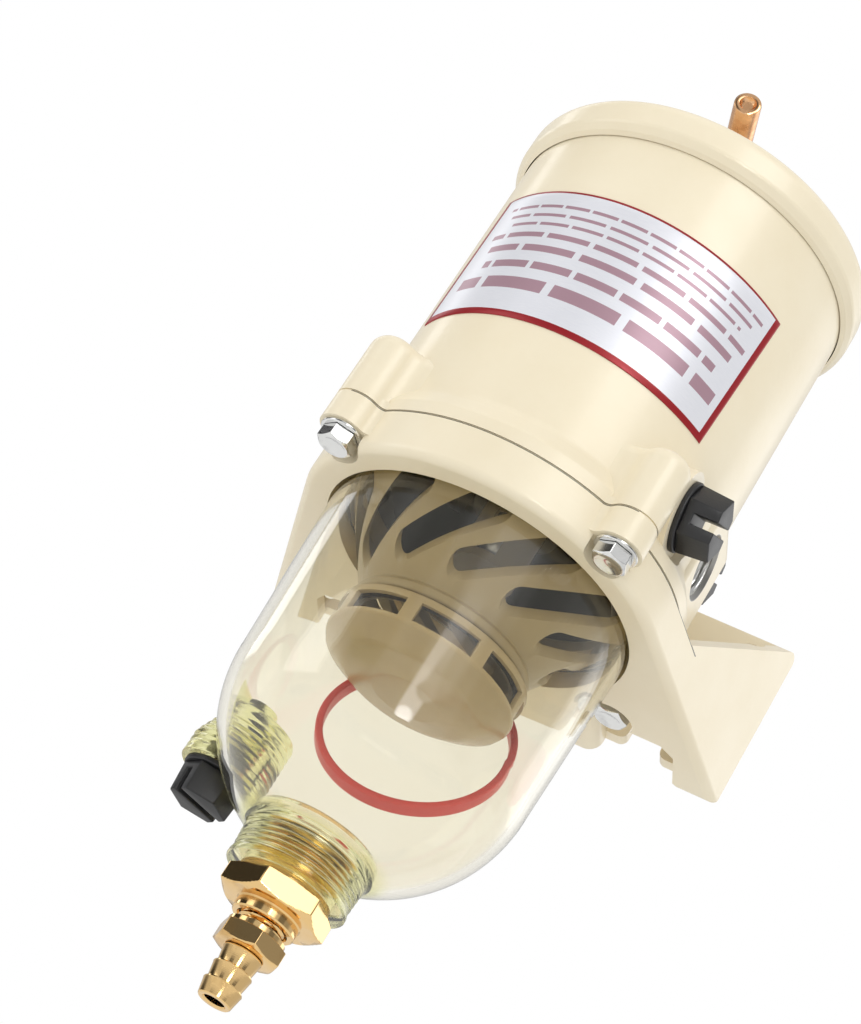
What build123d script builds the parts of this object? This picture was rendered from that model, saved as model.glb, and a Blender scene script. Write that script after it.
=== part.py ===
from build123d import *
from math import acos, atan2, cos, hypot, pi, radians, sin, sqrt
import os

# Fuel water separator, all sizes in millimetres.
# Each piece is built about the filter's own axis, with z = 0 at the lid's lower edge, +Z towards the lid
# and the bracket behind at +Y. PLACE then moves every piece so that the row's origin is the centre of the
# bracket's hole pattern on its wall face.

# Canister body
body_r = 51.5
body_wall = 3.5
chamber_wall = 7.0
body_rim_edge_r = 0.8
flange_root_r = 5.0
body_split_z = -108.8
rim_height = 6.0
deck_z = -60.0
deck_thickness = 6.0
split_flange_step = 3.2
split_flange_r = body_r + split_flange_step
split_flange_height = 4.5
split_flange_blend = 6.0
flange_edge_r = 1.6
hub_r = 13.0
hub_length = 34.0
hub_bore_r = 4.8
deck_hole_count = 6
deck_hole_r = 5.0
deck_hole_circle_r = 30.0
seam_height = 0.5
seam_depth = 0.5

# Clamp screws, four round the split
lug_reach = 2.5
screw_circle_r = split_flange_r + lug_reach
screw_count = 4
screw_r = 3.0
screw_fit = 0.05
screw_clearance = 0.3
screw_depth = 13.0
lug_r = 7.2
lug_blend = 7.0
lug_foot_blend = 3.0
lug_sink = 0.3
lug_height = 22.5
lug_soft_top = 4.5
lug_seat_drop = 8.7
washer_r = 6.4
washer_thickness = 1.2
washer_room = 0.8
screw_end_gap = 1.5
screw_head_across = 9.5
screw_head_height = 4.2
screw_head_chamfer = 0.8

# Lid
lid_r = split_flange_r
lid_height = 13.6
lid_edge_r = 4.5
lid_skirt_r = 2.0
lid_skirt = [(1.6, 0.9), (0.0, 3.2)]
lid_pan_blend = 1.2
lid_slope = 2.5
lid_gap = 0.35
lid_pan_r = 42.0
lid_pan_depth = 2.6
lid_hub_r = 15.0
lid_hub_rise = 4.5
lid_hole_clearance = 0.35
lid_gasket_height = 2.5
lid_inner_r = body_r - 7.5
lid_relief = 1.2

# T-handle
handle_thread_r = 4.7
handle_shoulder_r = 7.4
handle_bar_r = 4.0
handle_bar_length = 79.0
handle_bar_angle = 7.5
handle_bar_height = 34.0
handle_engagement = 15.0
handle_head_above = 6.5
handle_washer_r = 11.0
handle_washer_thickness = 1.6
handle_seal_r = 1.3
handle_foot_chamfer = 0.8
handle_head_edge_r = 1.5
handle_bar_edge_r = 1.0
handle_collar_drop = 2.0

# Return tube that carries the filter element
tube_r = 9.0
tube_bore_r = 4.4
tube_end_gap = 0.5
tube_thread_spare = 4.0
tube_window_drops = (19.0, 29.0)
tube_top_z = -10.0
thread_fit = 0.06
tube_window_r = 2.6
tube_seat = 12.0

# Filter element
element_r = body_r - 8.5
element_height = 46.0
element_cap_thickness = 2.4
element_cap_lip = 5.0
element_lip_wall = 1.0
element_clearance = 1.0
pleat_count = 40
pleat_inner_r = 18.5
pleat_outer_gap = 3.6
pleat_paper = (3.0, 1.8)
core_r = 15.0
core_wall = 1.2
core_hole_r = 2.4
grommet_size = 4.0
grommet_fit = 0.1
bail_wire_r = 1.2
bail_slack = 0.3
bail_span = 28.0
bail_height = 2.8
bail_fold = 18.0
ear_thickness = 2.2
ear_width = 8.0
ear_height = 5.2

# Bracket, one casting with the clamp ring
ring_height = 13.5
ring_opening_r = 46.5
ring_seat_r = 51.4
ring_lip = 6.3
wall_distance = split_flange_r + 10.0
bracket_half_width = 73.5
bracket_wall = 4.5
bracket_top_z = -65.6
web_thickness = 4.0
web_rear_y = 43.3
gusset_level_y = 7.1
gusset_gap = 0.4
ring_edge_r = 2.6
corner_round = 2.5
foot_inner_x = 60.3
foot_rise = 5.0
foot_chamfer = 3.0
web_corner = 4.0
flange_inner_x = 53.0
back_plate_low_z = -88.0
pad_half_width = 36.3
pad_height = 10.0
pad_corner_r = 4.5
pad_flange_half_width = 42.5
pad_flange_low_z = -116.5
pad_flange_high_z = -104.0
hole_spacing_x = 124.0
hole_spacing_z = 34.0
hole_r = 4.5
hole_centre_z = -93.0

# Bowl
bowl_r = body_r - 5.7
bowl_wall = 2.5
bowl_flange_r = body_r - 0.5
bowl_flange_thickness = 4.9
dome_r = bowl_r - 2.0
dome_centre_z = -173.0
gasket_height = 2.3
gasket_inner_r = bowl_r + 1.2
drain_boss_r = 17.8
drain_boss_rim_z = -224.0
drain_boss_draft = 0.8
drain_bore_r = 12.6
drain_boss_height = 17.0

# Water probe port in the bowl, parallel to the axis
probe_x = -37.0
probe_y = 12.0
probe_boss_r = 11.3
probe_seat_z = -199.0
probe_boss_height = 17.0
probe_pocket_wall = 2.4
probe_bore_r = 6.35

# Fuel ports: an open one and a plugged one behind it on each side, and a plugged one in front on the right
port_bore_r = 8.7
port_boss_r = 12.6
port_depth = 9.5
port_chamfer = 1.0
front_port_x = body_r - 4.5
front_port_y = -25.5
front_port_z = -92.0
open_port_x = body_r + 0.5
open_port_y = 3.0
open_port_z = -87.3
port_block_rear_y = 19.8
port_block_front_y = -10.0
port_block_width = 18.0
port_block_top_r = 6.0
port_block_side_r = 3.0
port_block_top_z = -68.0
rear_port_x = body_r - 13.7
rear_port_y = 30.1
rear_port_z = -73.1
rear_port_depth = 7.5
port_floor = 3.0
gallery_r = 3.2
gallery_offset = 4.5
gallery_wall = 3.0
link_r = 1.8
rear_link_x = 34.0
recess_clearance = 1.2
recess_wall = 3.2
inlet_length = 9.0

# Plastic port plugs
plug_flange_r = 10.0
plug_flange_thickness = 1.6
plug_head_r = 9.7
plug_head_height = 9.4
plug_head_draft = 4.0
plug_slot_width = 2.9
plug_slot_depth = 6.8
plug_slot_turn = 28.0
probe_plug_scale = 0.95
probe_plug_turn = -45.0
plug_thread_length = 6.5
plug_seal_r = 0.6
plug_seal_fit = 0.02
seal_recess_depth = 1.3

# Turbine and its cap
turbine_rim_r = bowl_r + 0.5
turbine_top_r = bowl_r - 3.6
turbine_collar_z = -116.5
turbine_neck_r = 25.0
turbine_neck_z = -142.5
turbine_bead_r = 27.0
turbine_bead_height = 2.8
turbine_bead_slope = 0.5
funnel_step = 0.7
turbine_wall = 1.8
turbine_tail_z = -147.5
slot_count = 11
slot_width = 6.8
slot_start_r = 30.5
slot_end_r = 41.6
slot_sweep = 38.0
slot_bow = 1.6
slot_first_angle = -26.5
cap_r = 28.3
cap_overlap = 1.2
cap_top_z = turbine_tail_z + cap_overlap
cap_rim_height = 2.2
cap_window_height = 5.0
cap_window_count = 8
cap_window_angle = 32.0
cap_first_window = 18.0
cap_bottom_z = -162.0
cap_wall = 1.6
cap_fit = 0.05
cap_edge_below = 2.0
cap_dish = [(0.72, 2.2), (0.36, 0.4)]

# Check ball in its cage under the hub
ball_r = 7.0
cage_r = 7.6
cage_wall = 1.8
cage_length = 22.0
cage_seat_depth = 3.0
cage_fit = 0.2
cage_slot_width = 6.0
cage_drain_r = 3.0
ball_gap = 0.05
seat_thickness = 3.0
seat_fit = 0.05
seat_hole_r = 4.2

# Loose red ring that leans against the back of the bowl
ring_r = 28.2
ring_band = 2.2
ring_width = 3.2
ring_lean = 20.0
ring_y = 27.4
ring_z = -158.5

# Brass drain valve
drain_hex_across = 27.0
drain_hex_height = 6.6
drain_seal_thickness = 1.4
drain_hex_chamfer = 1.3
drain_neck_height = 3.4
drain_neck_r = 9.0
drain_spigot_length = 15.0
hex_turn = 24.3
stem_thread_r = 6.6
stem_bore_r = 3.0
stem_hex_across = 17.0
stem_hex_height = 5.4
stem_hex_turn = 55.0
stem_hex_chamfer = 0.9
stem_gap = 3.6
stem_depth = 12.0
barb_r = 5.6
barb_neck_r = 4.8
barb_edge = 0.4
barb_count = 3
barb_pitch = 4.8
stem_fit = 0.06
stem_seal_width = 1.6
stem_seal_height = 1.2
stem_end_gap = 1.5

# Name plate
plate_top_z = -23.6
plate_low_z = -70.7
plate_half_angle = 56.0
plate_thickness = 0.4
plate_tilt = 2.0
plate_corner_r = 0.4

# Values that follow from the sizes above
front_link_x = (open_port_x - port_depth + front_port_x) / 2
front_link_z = (open_port_z + front_port_z) / 2
PLACE = Location((0, -wall_distance, -hole_centre_z))
hub_low_z = deck_z - deck_thickness - hub_length
cage_low_z = hub_low_z + cage_seat_depth - cage_length
ring_low_z = body_split_z - ring_height
lug_low_z = body_split_z - lug_seat_drop
bowl_top_z = body_split_z - gasket_height
web_top_z = ring_low_z + web_thickness
foot_low_z = ring_low_z + foot_rise
wall_face_y = wall_distance - bracket_wall
chamber_r = body_r - chamber_wall
port_floor_x = open_port_x - port_depth
gallery_z = open_port_z + gallery_offset
screw_angles = [45 + 360 / screw_count * i for i in range(screw_count)]
screw_places = [Location((screw_circle_r * cos(radians(a)), screw_circle_r * sin(radians(a)), 0))
                for a in screw_angles]
lid_top_z = lid_height + lid_hub_rise - lid_pan_depth
washer_top_z = lid_top_z + handle_washer_thickness


def turned(*outline):
    """A solid of revolution about Z from (radius, height) corners."""
    return revolve(make_face(Polyline([(r, 0, z) for r, z in outline], close=True)), Axis.Z)


def rod(radius, low, high, x=0, y=0):
    """An upright round bar between two heights."""
    return Pos(x, y, (low + high) / 2) * Cylinder(radius, high - low)


def bar_x(radius, start, end, y, z):
    """A round bar along X between two x values."""
    return Pos((start + end) / 2, y, z) * Rot(0, 90, 0) * Cylinder(radius, abs(end - start))


def slant(radius, start, end):
    """A round bar between two points."""
    run = Vector(*end) - Vector(*start)
    return extrude(Plane(origin=start, z_dir=run) * Circle(radius), run.length)


def bar_y(radius, start, end, x, z):
    """A round bar along Y between two y values."""
    return Pos(x, (start + end) / 2, z) * Rot(90, 0, 0) * Cylinder(radius, abs(end - start))


def hexagon(across_flats, low, high, turn=0):
    """An upright hexagonal bar."""
    face = RegularPolygon(across_flats / 2, 6, major_radius=False, rotation=turn)
    return Pos(0, 0, low) * extrude(face, high - low)


def chamfered_hexagon(across_flats, low, high, turn, cut):
    """A hexagon whose corners are turned back to a cone at its lower end."""
    flat_r = across_flats / 2
    corner_r = flat_r / cos(radians(30))
    rim_r = corner_r + 0.2
    cone = turned((0, low), (flat_r - 0.1, low), (rim_r, low + cut), (rim_r, high), (0, high))
    return hexagon(across_flats, low, high, turn) & cone


def seal_ring(middle_r, wire_r, z):
    """A round seal, with its section taken as eight sided."""
    corners = [radians(22.5 + 45 * i) for i in range(8)]
    return turned(*[(middle_r + wire_r * cos(a), z + wire_r * sin(a)) for a in corners])


def circles_at(part, z, radius, tolerance=0.3):
    """The round edges of a part that lie at one height and radius."""
    return [e for e in part.edges().filter_by(GeomType.CIRCLE)
            if abs(e.center().Z - z) < tolerance and abs(e.radius - radius) < tolerance]


def mirrored(part):
    """The same thing on the other side of the filter's middle plane."""
    return mirror(part, Plane.YZ)


def lug_plan(wall_r, blend, inset=0.0):
    """Outline of a clamp screw's lug, blended into the round wall beside it."""
    side = lug_r - inset
    inner_r = wall_r - lug_sink - inset
    plan = Circle(inner_r) + Pos(screw_circle_r / 2, 0) * Rectangle(screw_circle_r, 2 * side)
    plan += Pos(screw_circle_r, 0) * Circle(side)
    roots = [v for v in plan.vertices() if abs(abs(v.Y) - side) < 0.01 and hypot(v.X, v.Y) < inner_r + 0.01]
    plan = fillet(roots, blend + inset)
    reach = 2 * (screw_circle_r - wall_r + lug_r + blend)
    return plan & Pos(wall_r, 0) * Rectangle(reach, 8 * lug_r)


def screw_lug(low, high, wall_r, blend, soft_top=0.0):
    """A round lug at a clamp screw, joined to the wall behind it."""
    lug = Pos(0, 0, low) * extrude(lug_plan(wall_r, blend), high - low)
    if soft_top:
        top = lug.faces().sort_by(Axis.Z)[-1]
        tip = [e for e in top.edges() if e.center().X > screw_circle_r]
        sides = [e for e in top.edges().filter_by(GeomType.LINE) if abs(abs(e.center().Y) - lug_r) < 0.01]
        lug = fillet(tip + sides, soft_top)
    return lug


def around_screws(part):
    """One copy of a part at each clamp screw."""
    return [Rot(0, 0, a) * part for a in screw_angles]


def split_outline(inset):
    """The outline of the canister's lower flange and lugs, drawn in by an inset."""
    face = Circle(split_flange_r - inset)
    for one in around_screws(lug_plan(split_flange_r, lug_foot_blend, inset)):
        face += one
    return face


def port_block():
    """The block on the right-hand side that holds the open port, and the boss of the port behind it."""
    depth = port_block_rear_y - port_block_front_y
    height = port_block_top_z - body_split_z
    block = Pos(open_port_x - port_block_width / 2, port_block_rear_y - depth / 2,
                body_split_z + height / 2) * Box(port_block_width, depth, height)
    corner = [e for e in block.edges().filter_by(Axis.Y)
              if e.center().Z > port_block_top_z - 1 and e.center().X > open_port_x - 1]
    block = fillet(corner, port_block_top_r)
    side = [e for e in block.edges().filter_by(Axis.Z)
            if e.center().X > open_port_x - 1 and e.center().Y < 0]
    block = fillet(side, port_block_side_r)
    open_end = bar_x(port_boss_r, port_floor_x - port_floor, open_port_x - 1, open_port_y, open_port_z)
    rear = bar_x(port_boss_r, rear_port_x - rear_port_depth - port_floor, rear_port_x, rear_port_y, rear_port_z)
    return block + open_end + rear


def front_boss():
    """The boss of the plugged port in front, on the right-hand side only."""
    return bar_x(port_boss_r, front_port_x - port_depth - port_floor, front_port_x, front_port_y, front_port_z)


def rear_recess(extra):
    """Room beside the canister for the rear plug, open to the side and to the rear."""
    radius = plug_flange_r + recess_clearance + extra
    room = bar_x(radius, rear_port_x - extra, rear_port_x + 30, rear_port_y, rear_port_z)
    behind = Pos(rear_port_x, port_block_rear_y - extra + 50, rear_port_z) * Box(100, 100, 100)
    return room & behind


def side_bores():
    """The open port and the one behind it, on the right-hand side."""
    middle = bar_x(port_bore_r, port_floor_x, open_port_x + 20, open_port_y, open_port_z)
    mouth = Pos(open_port_x - port_chamfer / 2, open_port_y, open_port_z) * Rot(0, 90, 0) * Cone(
        port_bore_r, port_bore_r + port_chamfer, port_chamfer)
    rear = bar_x(port_bore_r, rear_port_x - rear_port_depth, rear_port_x + 1, rear_port_y, rear_port_z)
    return middle + mouth + rear


def rear_link(radius):
    """A slanting bar from the return duct to the rear port of the right-hand side."""
    return slant(radius, (rear_link_x, open_port_y, gallery_z), (rear_link_x, rear_port_y, rear_port_z))


def body_casting():
    """The canister: element chamber above the deck, port chamber and return hub below it."""
    outer = turned((0, body_split_z), (split_flange_r, body_split_z),
                   (split_flange_r, body_split_z + split_flange_height),
                   (body_r, body_split_z + split_flange_height + split_flange_blend),
                   (body_r, rim_height), (0, rim_height))
    outer = fillet(circles_at(outer, body_split_z + split_flange_height, split_flange_r), flange_edge_r)
    flange_root_z = body_split_z + split_flange_height + split_flange_blend
    outer = fillet(circles_at(outer, flange_root_z, body_r), flange_root_r)
    outer = fillet(circles_at(outer, rim_height, body_r), body_rim_edge_r)
    tall_lug = screw_lug(body_split_z, body_split_z + lug_height, body_r, lug_blend, lug_soft_top)
    lug_foot = screw_lug(body_split_z, body_split_z + split_flange_height - flange_edge_r, split_flange_r,
                         lug_foot_blend)
    for one in around_screws(tall_lug) + around_screws(lug_foot):
        outer += one
    side = port_block()
    bosses = side + mirrored(side) + front_boss()
    outer += bosses
    element_room = rod(body_r - body_wall, deck_z, rim_height + 1)
    port_room = rod(chamber_r, body_split_z - 1, deck_z - deck_thickness)
    room_limit = rod(chamber_r + 1, body_split_z, deck_z - deck_thickness)
    front_link_rib = bar_y(link_r + recess_wall, front_port_y, open_port_y, front_link_x, front_link_z)
    recess_walls = rear_recess(recess_wall)
    inner_bosses = (bosses + front_link_rib + rear_link(link_r + recess_wall) + recess_walls
                    + mirrored(recess_walls)) & room_limit
    duct = bar_x(gallery_r + gallery_wall, 0, port_floor_x, open_port_y, gallery_z)
    hub = rod(hub_r, hub_low_z, deck_z)
    body = outer - element_room - (port_room - inner_bosses - duct - hub)
    bores = side_bores()
    recess = rear_recess(0)
    body -= bores + mirrored(bores) + recess + mirrored(recess)
    body -= bar_x(port_bore_r, front_port_x - port_depth, front_port_x + 20, front_port_y, front_port_z)
    body -= bar_x(port_boss_r, front_port_x, front_port_x + 20, front_port_y, front_port_z)
    for place in port_plug_places():
        body -= place * seal_recess(port_bore_r)
    tube_socket = rod(tube_r + thread_fit, deck_z - tube_seat, deck_z + 1)
    return_bore = rod(hub_bore_r, gallery_z - gallery_r - 1, deck_z)
    return_duct = bar_x(gallery_r, 0, port_floor_x + 1, open_port_y, gallery_z)
    body -= tube_socket + return_bore + return_duct
    body -= bar_y(link_r, front_port_y, open_port_y, front_link_x, front_link_z)
    body -= rear_link(link_r)
    inlet_x = -port_floor_x - 1
    body -= bar_x(gallery_r, inlet_x, inlet_x + inlet_length, open_port_y, gallery_z)
    rear_inlet_x = rear_port_depth - rear_port_x - 1
    body -= bar_x(gallery_r, rear_inlet_x, rear_inlet_x + inlet_length, rear_port_y, rear_port_z)
    for i in range(deck_hole_count):
        body -= Rot(0, 0, 360 / deck_hole_count * (i + 0.5)) * rod(
            deck_hole_r, deck_z - deck_thickness - 1, deck_z + 1, x=deck_hole_circle_r)
    body -= rod(cage_r + cage_wall + cage_fit, hub_low_z - 1, hub_low_z + cage_seat_depth)
    for place in screw_places:
        body -= place * rod(screw_r, body_split_z - 1, body_split_z + screw_depth)
    seam_core = Pos(0, 0, body_split_z) * extrude(split_outline(seam_depth), seam_height)
    body -= rod(2 * split_flange_r, body_split_z, body_split_z + seam_height) - seam_core
    return body


def name_plate():
    """The blank plate wrapped round the front of the canister."""
    height = plate_top_z - plate_low_z
    width = 2 * body_r * sin(radians(plate_half_angle))
    middle = (plate_top_z + plate_low_z) / 2
    window = Pos(0, 0, middle) * Rot(0, plate_tilt, 0) * Rot(90, 0, 0) * extrude(
        RectangleRounded(width, height, plate_corner_r), 2 * body_r)
    shell = rod(body_r + plate_thickness, plate_low_z - 10, plate_top_z + 10) - rod(
        body_r, plate_low_z - 11, plate_top_z + 11)
    return shell & window


def bracket():
    """The wall bracket: clamp ring, web, side gussets, wall feet and rear pad in one casting."""
    half = bracket_half_width
    touch = atan2(wall_distance, half) - acos(split_flange_r / hypot(half, wall_distance))
    touch_x = split_flange_r * cos(touch)
    touch_y = split_flange_r * sin(touch)
    lean = (half - touch_x) / (wall_distance - touch_y)
    inset = bracket_wall * sqrt(1 + lean ** 2)

    def inner_x(y):
        return touch_x + lean * (y - touch_y) - inset

    wings = make_face(Polyline((-touch_x, touch_y), (touch_x, touch_y), (half, wall_distance),
                               (-half, wall_distance), close=True))
    casting = Pos(0, 0, ring_low_z) * extrude(Circle(split_flange_r) + wings, bracket_top_z - ring_low_z)
    casting = fillet([e for e in casting.edges() if abs(e.center().Z - ring_low_z) < 0.01], ring_edge_r)
    front_y = -2 * split_flange_r
    profile = make_face(Polyline(
        (front_y, ring_low_z - 5), (wall_distance, ring_low_z - 5), (wall_distance, bracket_top_z),
        (gusset_level_y, body_split_z), (front_y, body_split_z), close=True))
    profile = fillet([v for v in profile.vertices() if v.Y > bracket_top_z - 1], corner_round)
    casting &= extrude(Plane.YZ * profile, half + 10, both=True)
    lugs = around_screws(screw_lug(lug_low_z, body_split_z, split_flange_r, lug_foot_blend))
    for one in lugs:
        casting += one

    room_plan = make_face(Polyline((-inner_x(0), 0), (inner_x(0), 0), (inner_x(wall_face_y), wall_face_y),
                                   (-inner_x(wall_face_y), wall_face_y), close=True))
    room = Pos(0, 0, web_top_z) * extrude(room_plan, bracket_top_z + 1 - web_top_z)
    room -= rod(split_flange_r, web_top_z - 1, body_split_z)
    for one in lugs:
        room -= one
    casting -= room
    x = foot_inner_x
    opening_plan = make_face(Polyline(
        (-x + web_corner, web_rear_y), (x - web_corner, web_rear_y), (x, web_rear_y + web_corner),
        (x, wall_distance - foot_chamfer), (x + foot_chamfer + 1, wall_distance + 1),
        (-x - foot_chamfer - 1, wall_distance + 1), (-x, wall_distance - foot_chamfer),
        (-x, web_rear_y + web_corner), close=True))
    casting -= Pos(0, 0, ring_low_z - 1) * extrude(opening_plan, foot_rise + 1)
    gap_face = Pos(0, (foot_low_z - 2 + back_plate_low_z) / 2) * Rectangle(
        2 * flange_inner_x, back_plate_low_z - foot_low_z + 2)
    gap_face = fillet([v for v in gap_face.vertices() if v.Y > foot_low_z], corner_round)
    flare = Pos(0, foot_low_z - 1) * Rectangle(2 * foot_inner_x, 2)
    gap_face = fillet([v for v in (gap_face + flare).vertices()
                       if abs(abs(v.X) - flange_inner_x) < 0.01 and abs(v.Y - foot_low_z) < 0.01], corner_round)
    casting -= Pos(0, wall_distance + 1, 0) * extrude(Plane.XZ * gap_face, bracket_wall + 1.5)

    pad_face = Pos(0, ring_low_z + pad_height / 2) * Rectangle(2 * pad_half_width, pad_height)
    pad_face = fillet([v for v in pad_face.vertices() if v.Y < ring_low_z + 1], pad_corner_r)
    casting += Pos(0, wall_distance, 0) * extrude(Plane.XZ * pad_face, wall_distance - web_rear_y + 1)
    flange_face = Pos(0, (pad_flange_low_z + pad_flange_high_z) / 2) * RectangleRounded(
        2 * pad_flange_half_width, pad_flange_high_z - pad_flange_low_z, corner_round)
    casting += Pos(0, wall_distance, 0) * extrude(Plane.XZ * flange_face, bracket_wall)

    casting -= rod(ring_opening_r, ring_low_z - 1, body_split_z + 1)
    casting -= rod(ring_seat_r, ring_low_z + ring_lip, body_split_z + 1)
    for place in screw_places:
        casting -= place * rod(screw_r + screw_clearance, lug_low_z - 1, body_split_z + 1)
        casting -= place * rod(washer_r + washer_room, ring_low_z - 1, lug_low_z)
    for x in (-hole_spacing_x / 2, hole_spacing_x / 2):
        for z in (-hole_spacing_z / 2, hole_spacing_z / 2):
            casting -= bar_y(hole_r, wall_distance - 20, wall_distance + 1, x, hole_centre_z + z)
    return casting - rod(split_flange_r + gusset_gap, body_split_z, bracket_top_z + 1)


def ring_screws():
    """Hexagon screws that clamp the ring and the bowl up to the canister."""
    head_top = lug_low_z - washer_thickness
    screw = chamfered_hexagon(screw_head_across, head_top - screw_head_height, head_top, 0, screw_head_chamfer)
    screw += rod(screw_r - screw_fit, head_top, body_split_z + screw_depth - screw_end_gap)
    return [place * screw for place in screw_places]


def ring_washers():
    """Plain washers under the screw heads."""
    disc = rod(washer_r, lug_low_z - washer_thickness, lug_low_z) - rod(
        screw_r + screw_clearance, lug_low_z - washer_thickness - 1, lug_low_z + 1)
    return [place * disc for place in screw_places]


def bowl():
    """The clear bowl with its clamping flange, dome, drain boss and water probe port."""
    flange_low_z = bowl_top_z - bowl_flange_thickness

    def shell(offset):
        wall = make_face(Polyline(
            (0, 0, bowl_top_z), (bowl_r - offset, 0, bowl_top_z), (bowl_r - offset, 0, ring_low_z),
            (dome_r - offset, 0, dome_centre_z), (0, 0, dome_centre_z), close=True))
        return revolve(wall, Axis.Z) + (Pos(0, 0, dome_centre_z) * Sphere(dome_r - offset)
                                        & rod(dome_r, dome_centre_z - 2 * dome_r, dome_centre_z + 1))

    outer = shell(0)
    inner = shell(bowl_wall)
    boss_low_r = drain_boss_r - drain_boss_draft
    boss_top_z = drain_boss_rim_z + drain_boss_height
    boss = turned((0, drain_boss_rim_z), (boss_low_r, drain_boss_rim_z),
                  (drain_boss_r, boss_top_z), (0, boss_top_z))
    pocket_solid = rod(probe_boss_r + probe_pocket_wall, probe_seat_z - 14,
                       probe_seat_z + probe_boss_height, probe_x, probe_y) & outer
    probe_solid = rod(probe_boss_r, probe_seat_z, probe_seat_z + probe_boss_height, probe_x, probe_y)
    flange = rod(bowl_flange_r, flange_low_z, bowl_top_z)
    result = (outer + flange + probe_solid + boss) - (inner - boss - probe_solid - pocket_solid)
    result -= rod(drain_bore_r, drain_boss_rim_z - 1, boss_top_z + 3)
    result -= rod(probe_bore_r, probe_seat_z - 1, probe_seat_z + probe_boss_height + 1, probe_x, probe_y)
    result -= rod(probe_boss_r, probe_seat_z - 30, probe_seat_z, probe_x, probe_y)
    result -= probe_place() * seal_recess(probe_bore_r)
    return result


def bowl_gasket():
    """Flat seal between the canister and the bowl's flange."""
    return rod(bowl_flange_r, bowl_top_z, body_split_z) - rod(gasket_inner_r, bowl_top_z - 1, body_split_z + 1)


def plug(thread_r, thread_length, scale=1.0):
    """A slotted plug with its seat at z = 0 and its head towards +Z."""
    flange = rod(plug_flange_r * scale, 0, plug_flange_thickness)
    head = Pos(0, 0, plug_flange_thickness) * extrude(
        RegularPolygon(plug_head_r * scale, 6, rotation=30), plug_head_height * scale, taper=plug_head_draft)
    top = plug_flange_thickness + plug_head_height * scale
    groove = 2 * plug_seal_r + 3 * plug_seal_fit
    thread = rod(thread_r - stem_fit, -thread_length, -groove)
    neck = rod(thread_r - plug_seal_r, -groove, 0)
    slot = Pos(0, 0, top - plug_slot_depth / 2) * Box(4 * plug_flange_r, plug_slot_width, plug_slot_depth)
    return flange + head + thread + neck - slot


def plug_seal(thread_r):
    """Round seal in the groove under a plug's flange."""
    return seal_ring(thread_r + plug_seal_fit, plug_seal_r, -plug_seal_r - plug_seal_fit)


def seal_recess(thread_r):
    """Shallow recess at a port's mouth that takes the plug's seal."""
    return rod(thread_r + plug_seal_r + 2 * plug_seal_fit, -seal_recess_depth, 1)


def port_plug_places():
    """Where the plugged fuel ports are: one behind on each side and one in front on the right."""
    right = Rot(0, 90, 0) * Rot(0, 0, 90 + plug_slot_turn)
    left = Rot(0, -90, 0) * Rot(0, 0, 90 - plug_slot_turn)
    return [Pos(front_port_x, front_port_y, front_port_z) * right,
            Pos(rear_port_x, rear_port_y, rear_port_z) * right,
            Pos(-rear_port_x, rear_port_y, rear_port_z) * left]


def port_plugs():
    """The slotted plugs in the unused ports."""
    return [place * plug(port_bore_r, plug_thread_length) for place in port_plug_places()]


def port_plug_seals():
    """The seals of the port plugs."""
    return [place * plug_seal(port_bore_r) for place in port_plug_places()]


def probe_place():
    """Seat of the plug in the bowl's probe port, head down, slot across the view."""
    return Pos(probe_x, probe_y, probe_seat_z) * Rot(180, 0, 0) * Rot(0, 0, probe_plug_turn)


def probe_plug():
    """Slotted plug in the bowl's water probe port."""
    return probe_place() * plug(probe_bore_r, plug_thread_length, probe_plug_scale)


def probe_plug_seal():
    """Seal of the probe plug."""
    return probe_place() * plug_seal(probe_bore_r)


def turbine():
    """Spin vane insert: rim, collar and a funnel with spiral slots down to its neck."""
    w = turbine_wall
    step = funnel_step
    bead_low_z = turbine_neck_z - turbine_bead_height
    outline = [(turbine_top_r - w, body_split_z), (turbine_rim_r, body_split_z),
               (turbine_rim_r, bowl_top_z), (turbine_top_r, bowl_top_z),
               (turbine_top_r, turbine_collar_z), (turbine_neck_r, turbine_neck_z),
               (turbine_bead_r, turbine_neck_z - turbine_bead_slope), (turbine_bead_r, bead_low_z),
               (turbine_neck_r, bead_low_z - turbine_bead_slope), (turbine_neck_r, turbine_tail_z),
               (turbine_neck_r - w, turbine_tail_z),
               (turbine_neck_r - w, turbine_neck_z + step), (turbine_top_r - w, turbine_collar_z + step)]
    funnel = turned(*outline)
    start = Vector(slot_start_r, 0)
    end = Vector(slot_end_r * cos(radians(slot_sweep)), slot_end_r * sin(radians(slot_sweep)))
    run = end - start
    side = Vector(run.Y, -run.X).normalized()
    middle = start + run * 0.5 + side * slot_bow
    slot = SlotArc(ThreePointArc(start, middle, end), slot_width)
    cutter = Pos(0, 0, turbine_neck_z) * extrude(slot, turbine_collar_z - turbine_neck_z + 4)
    for i in range(slot_count):
        funnel -= Rot(0, 0, -90 + slot_first_angle + 360 / slot_count * i) * cutter
    return funnel


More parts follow.
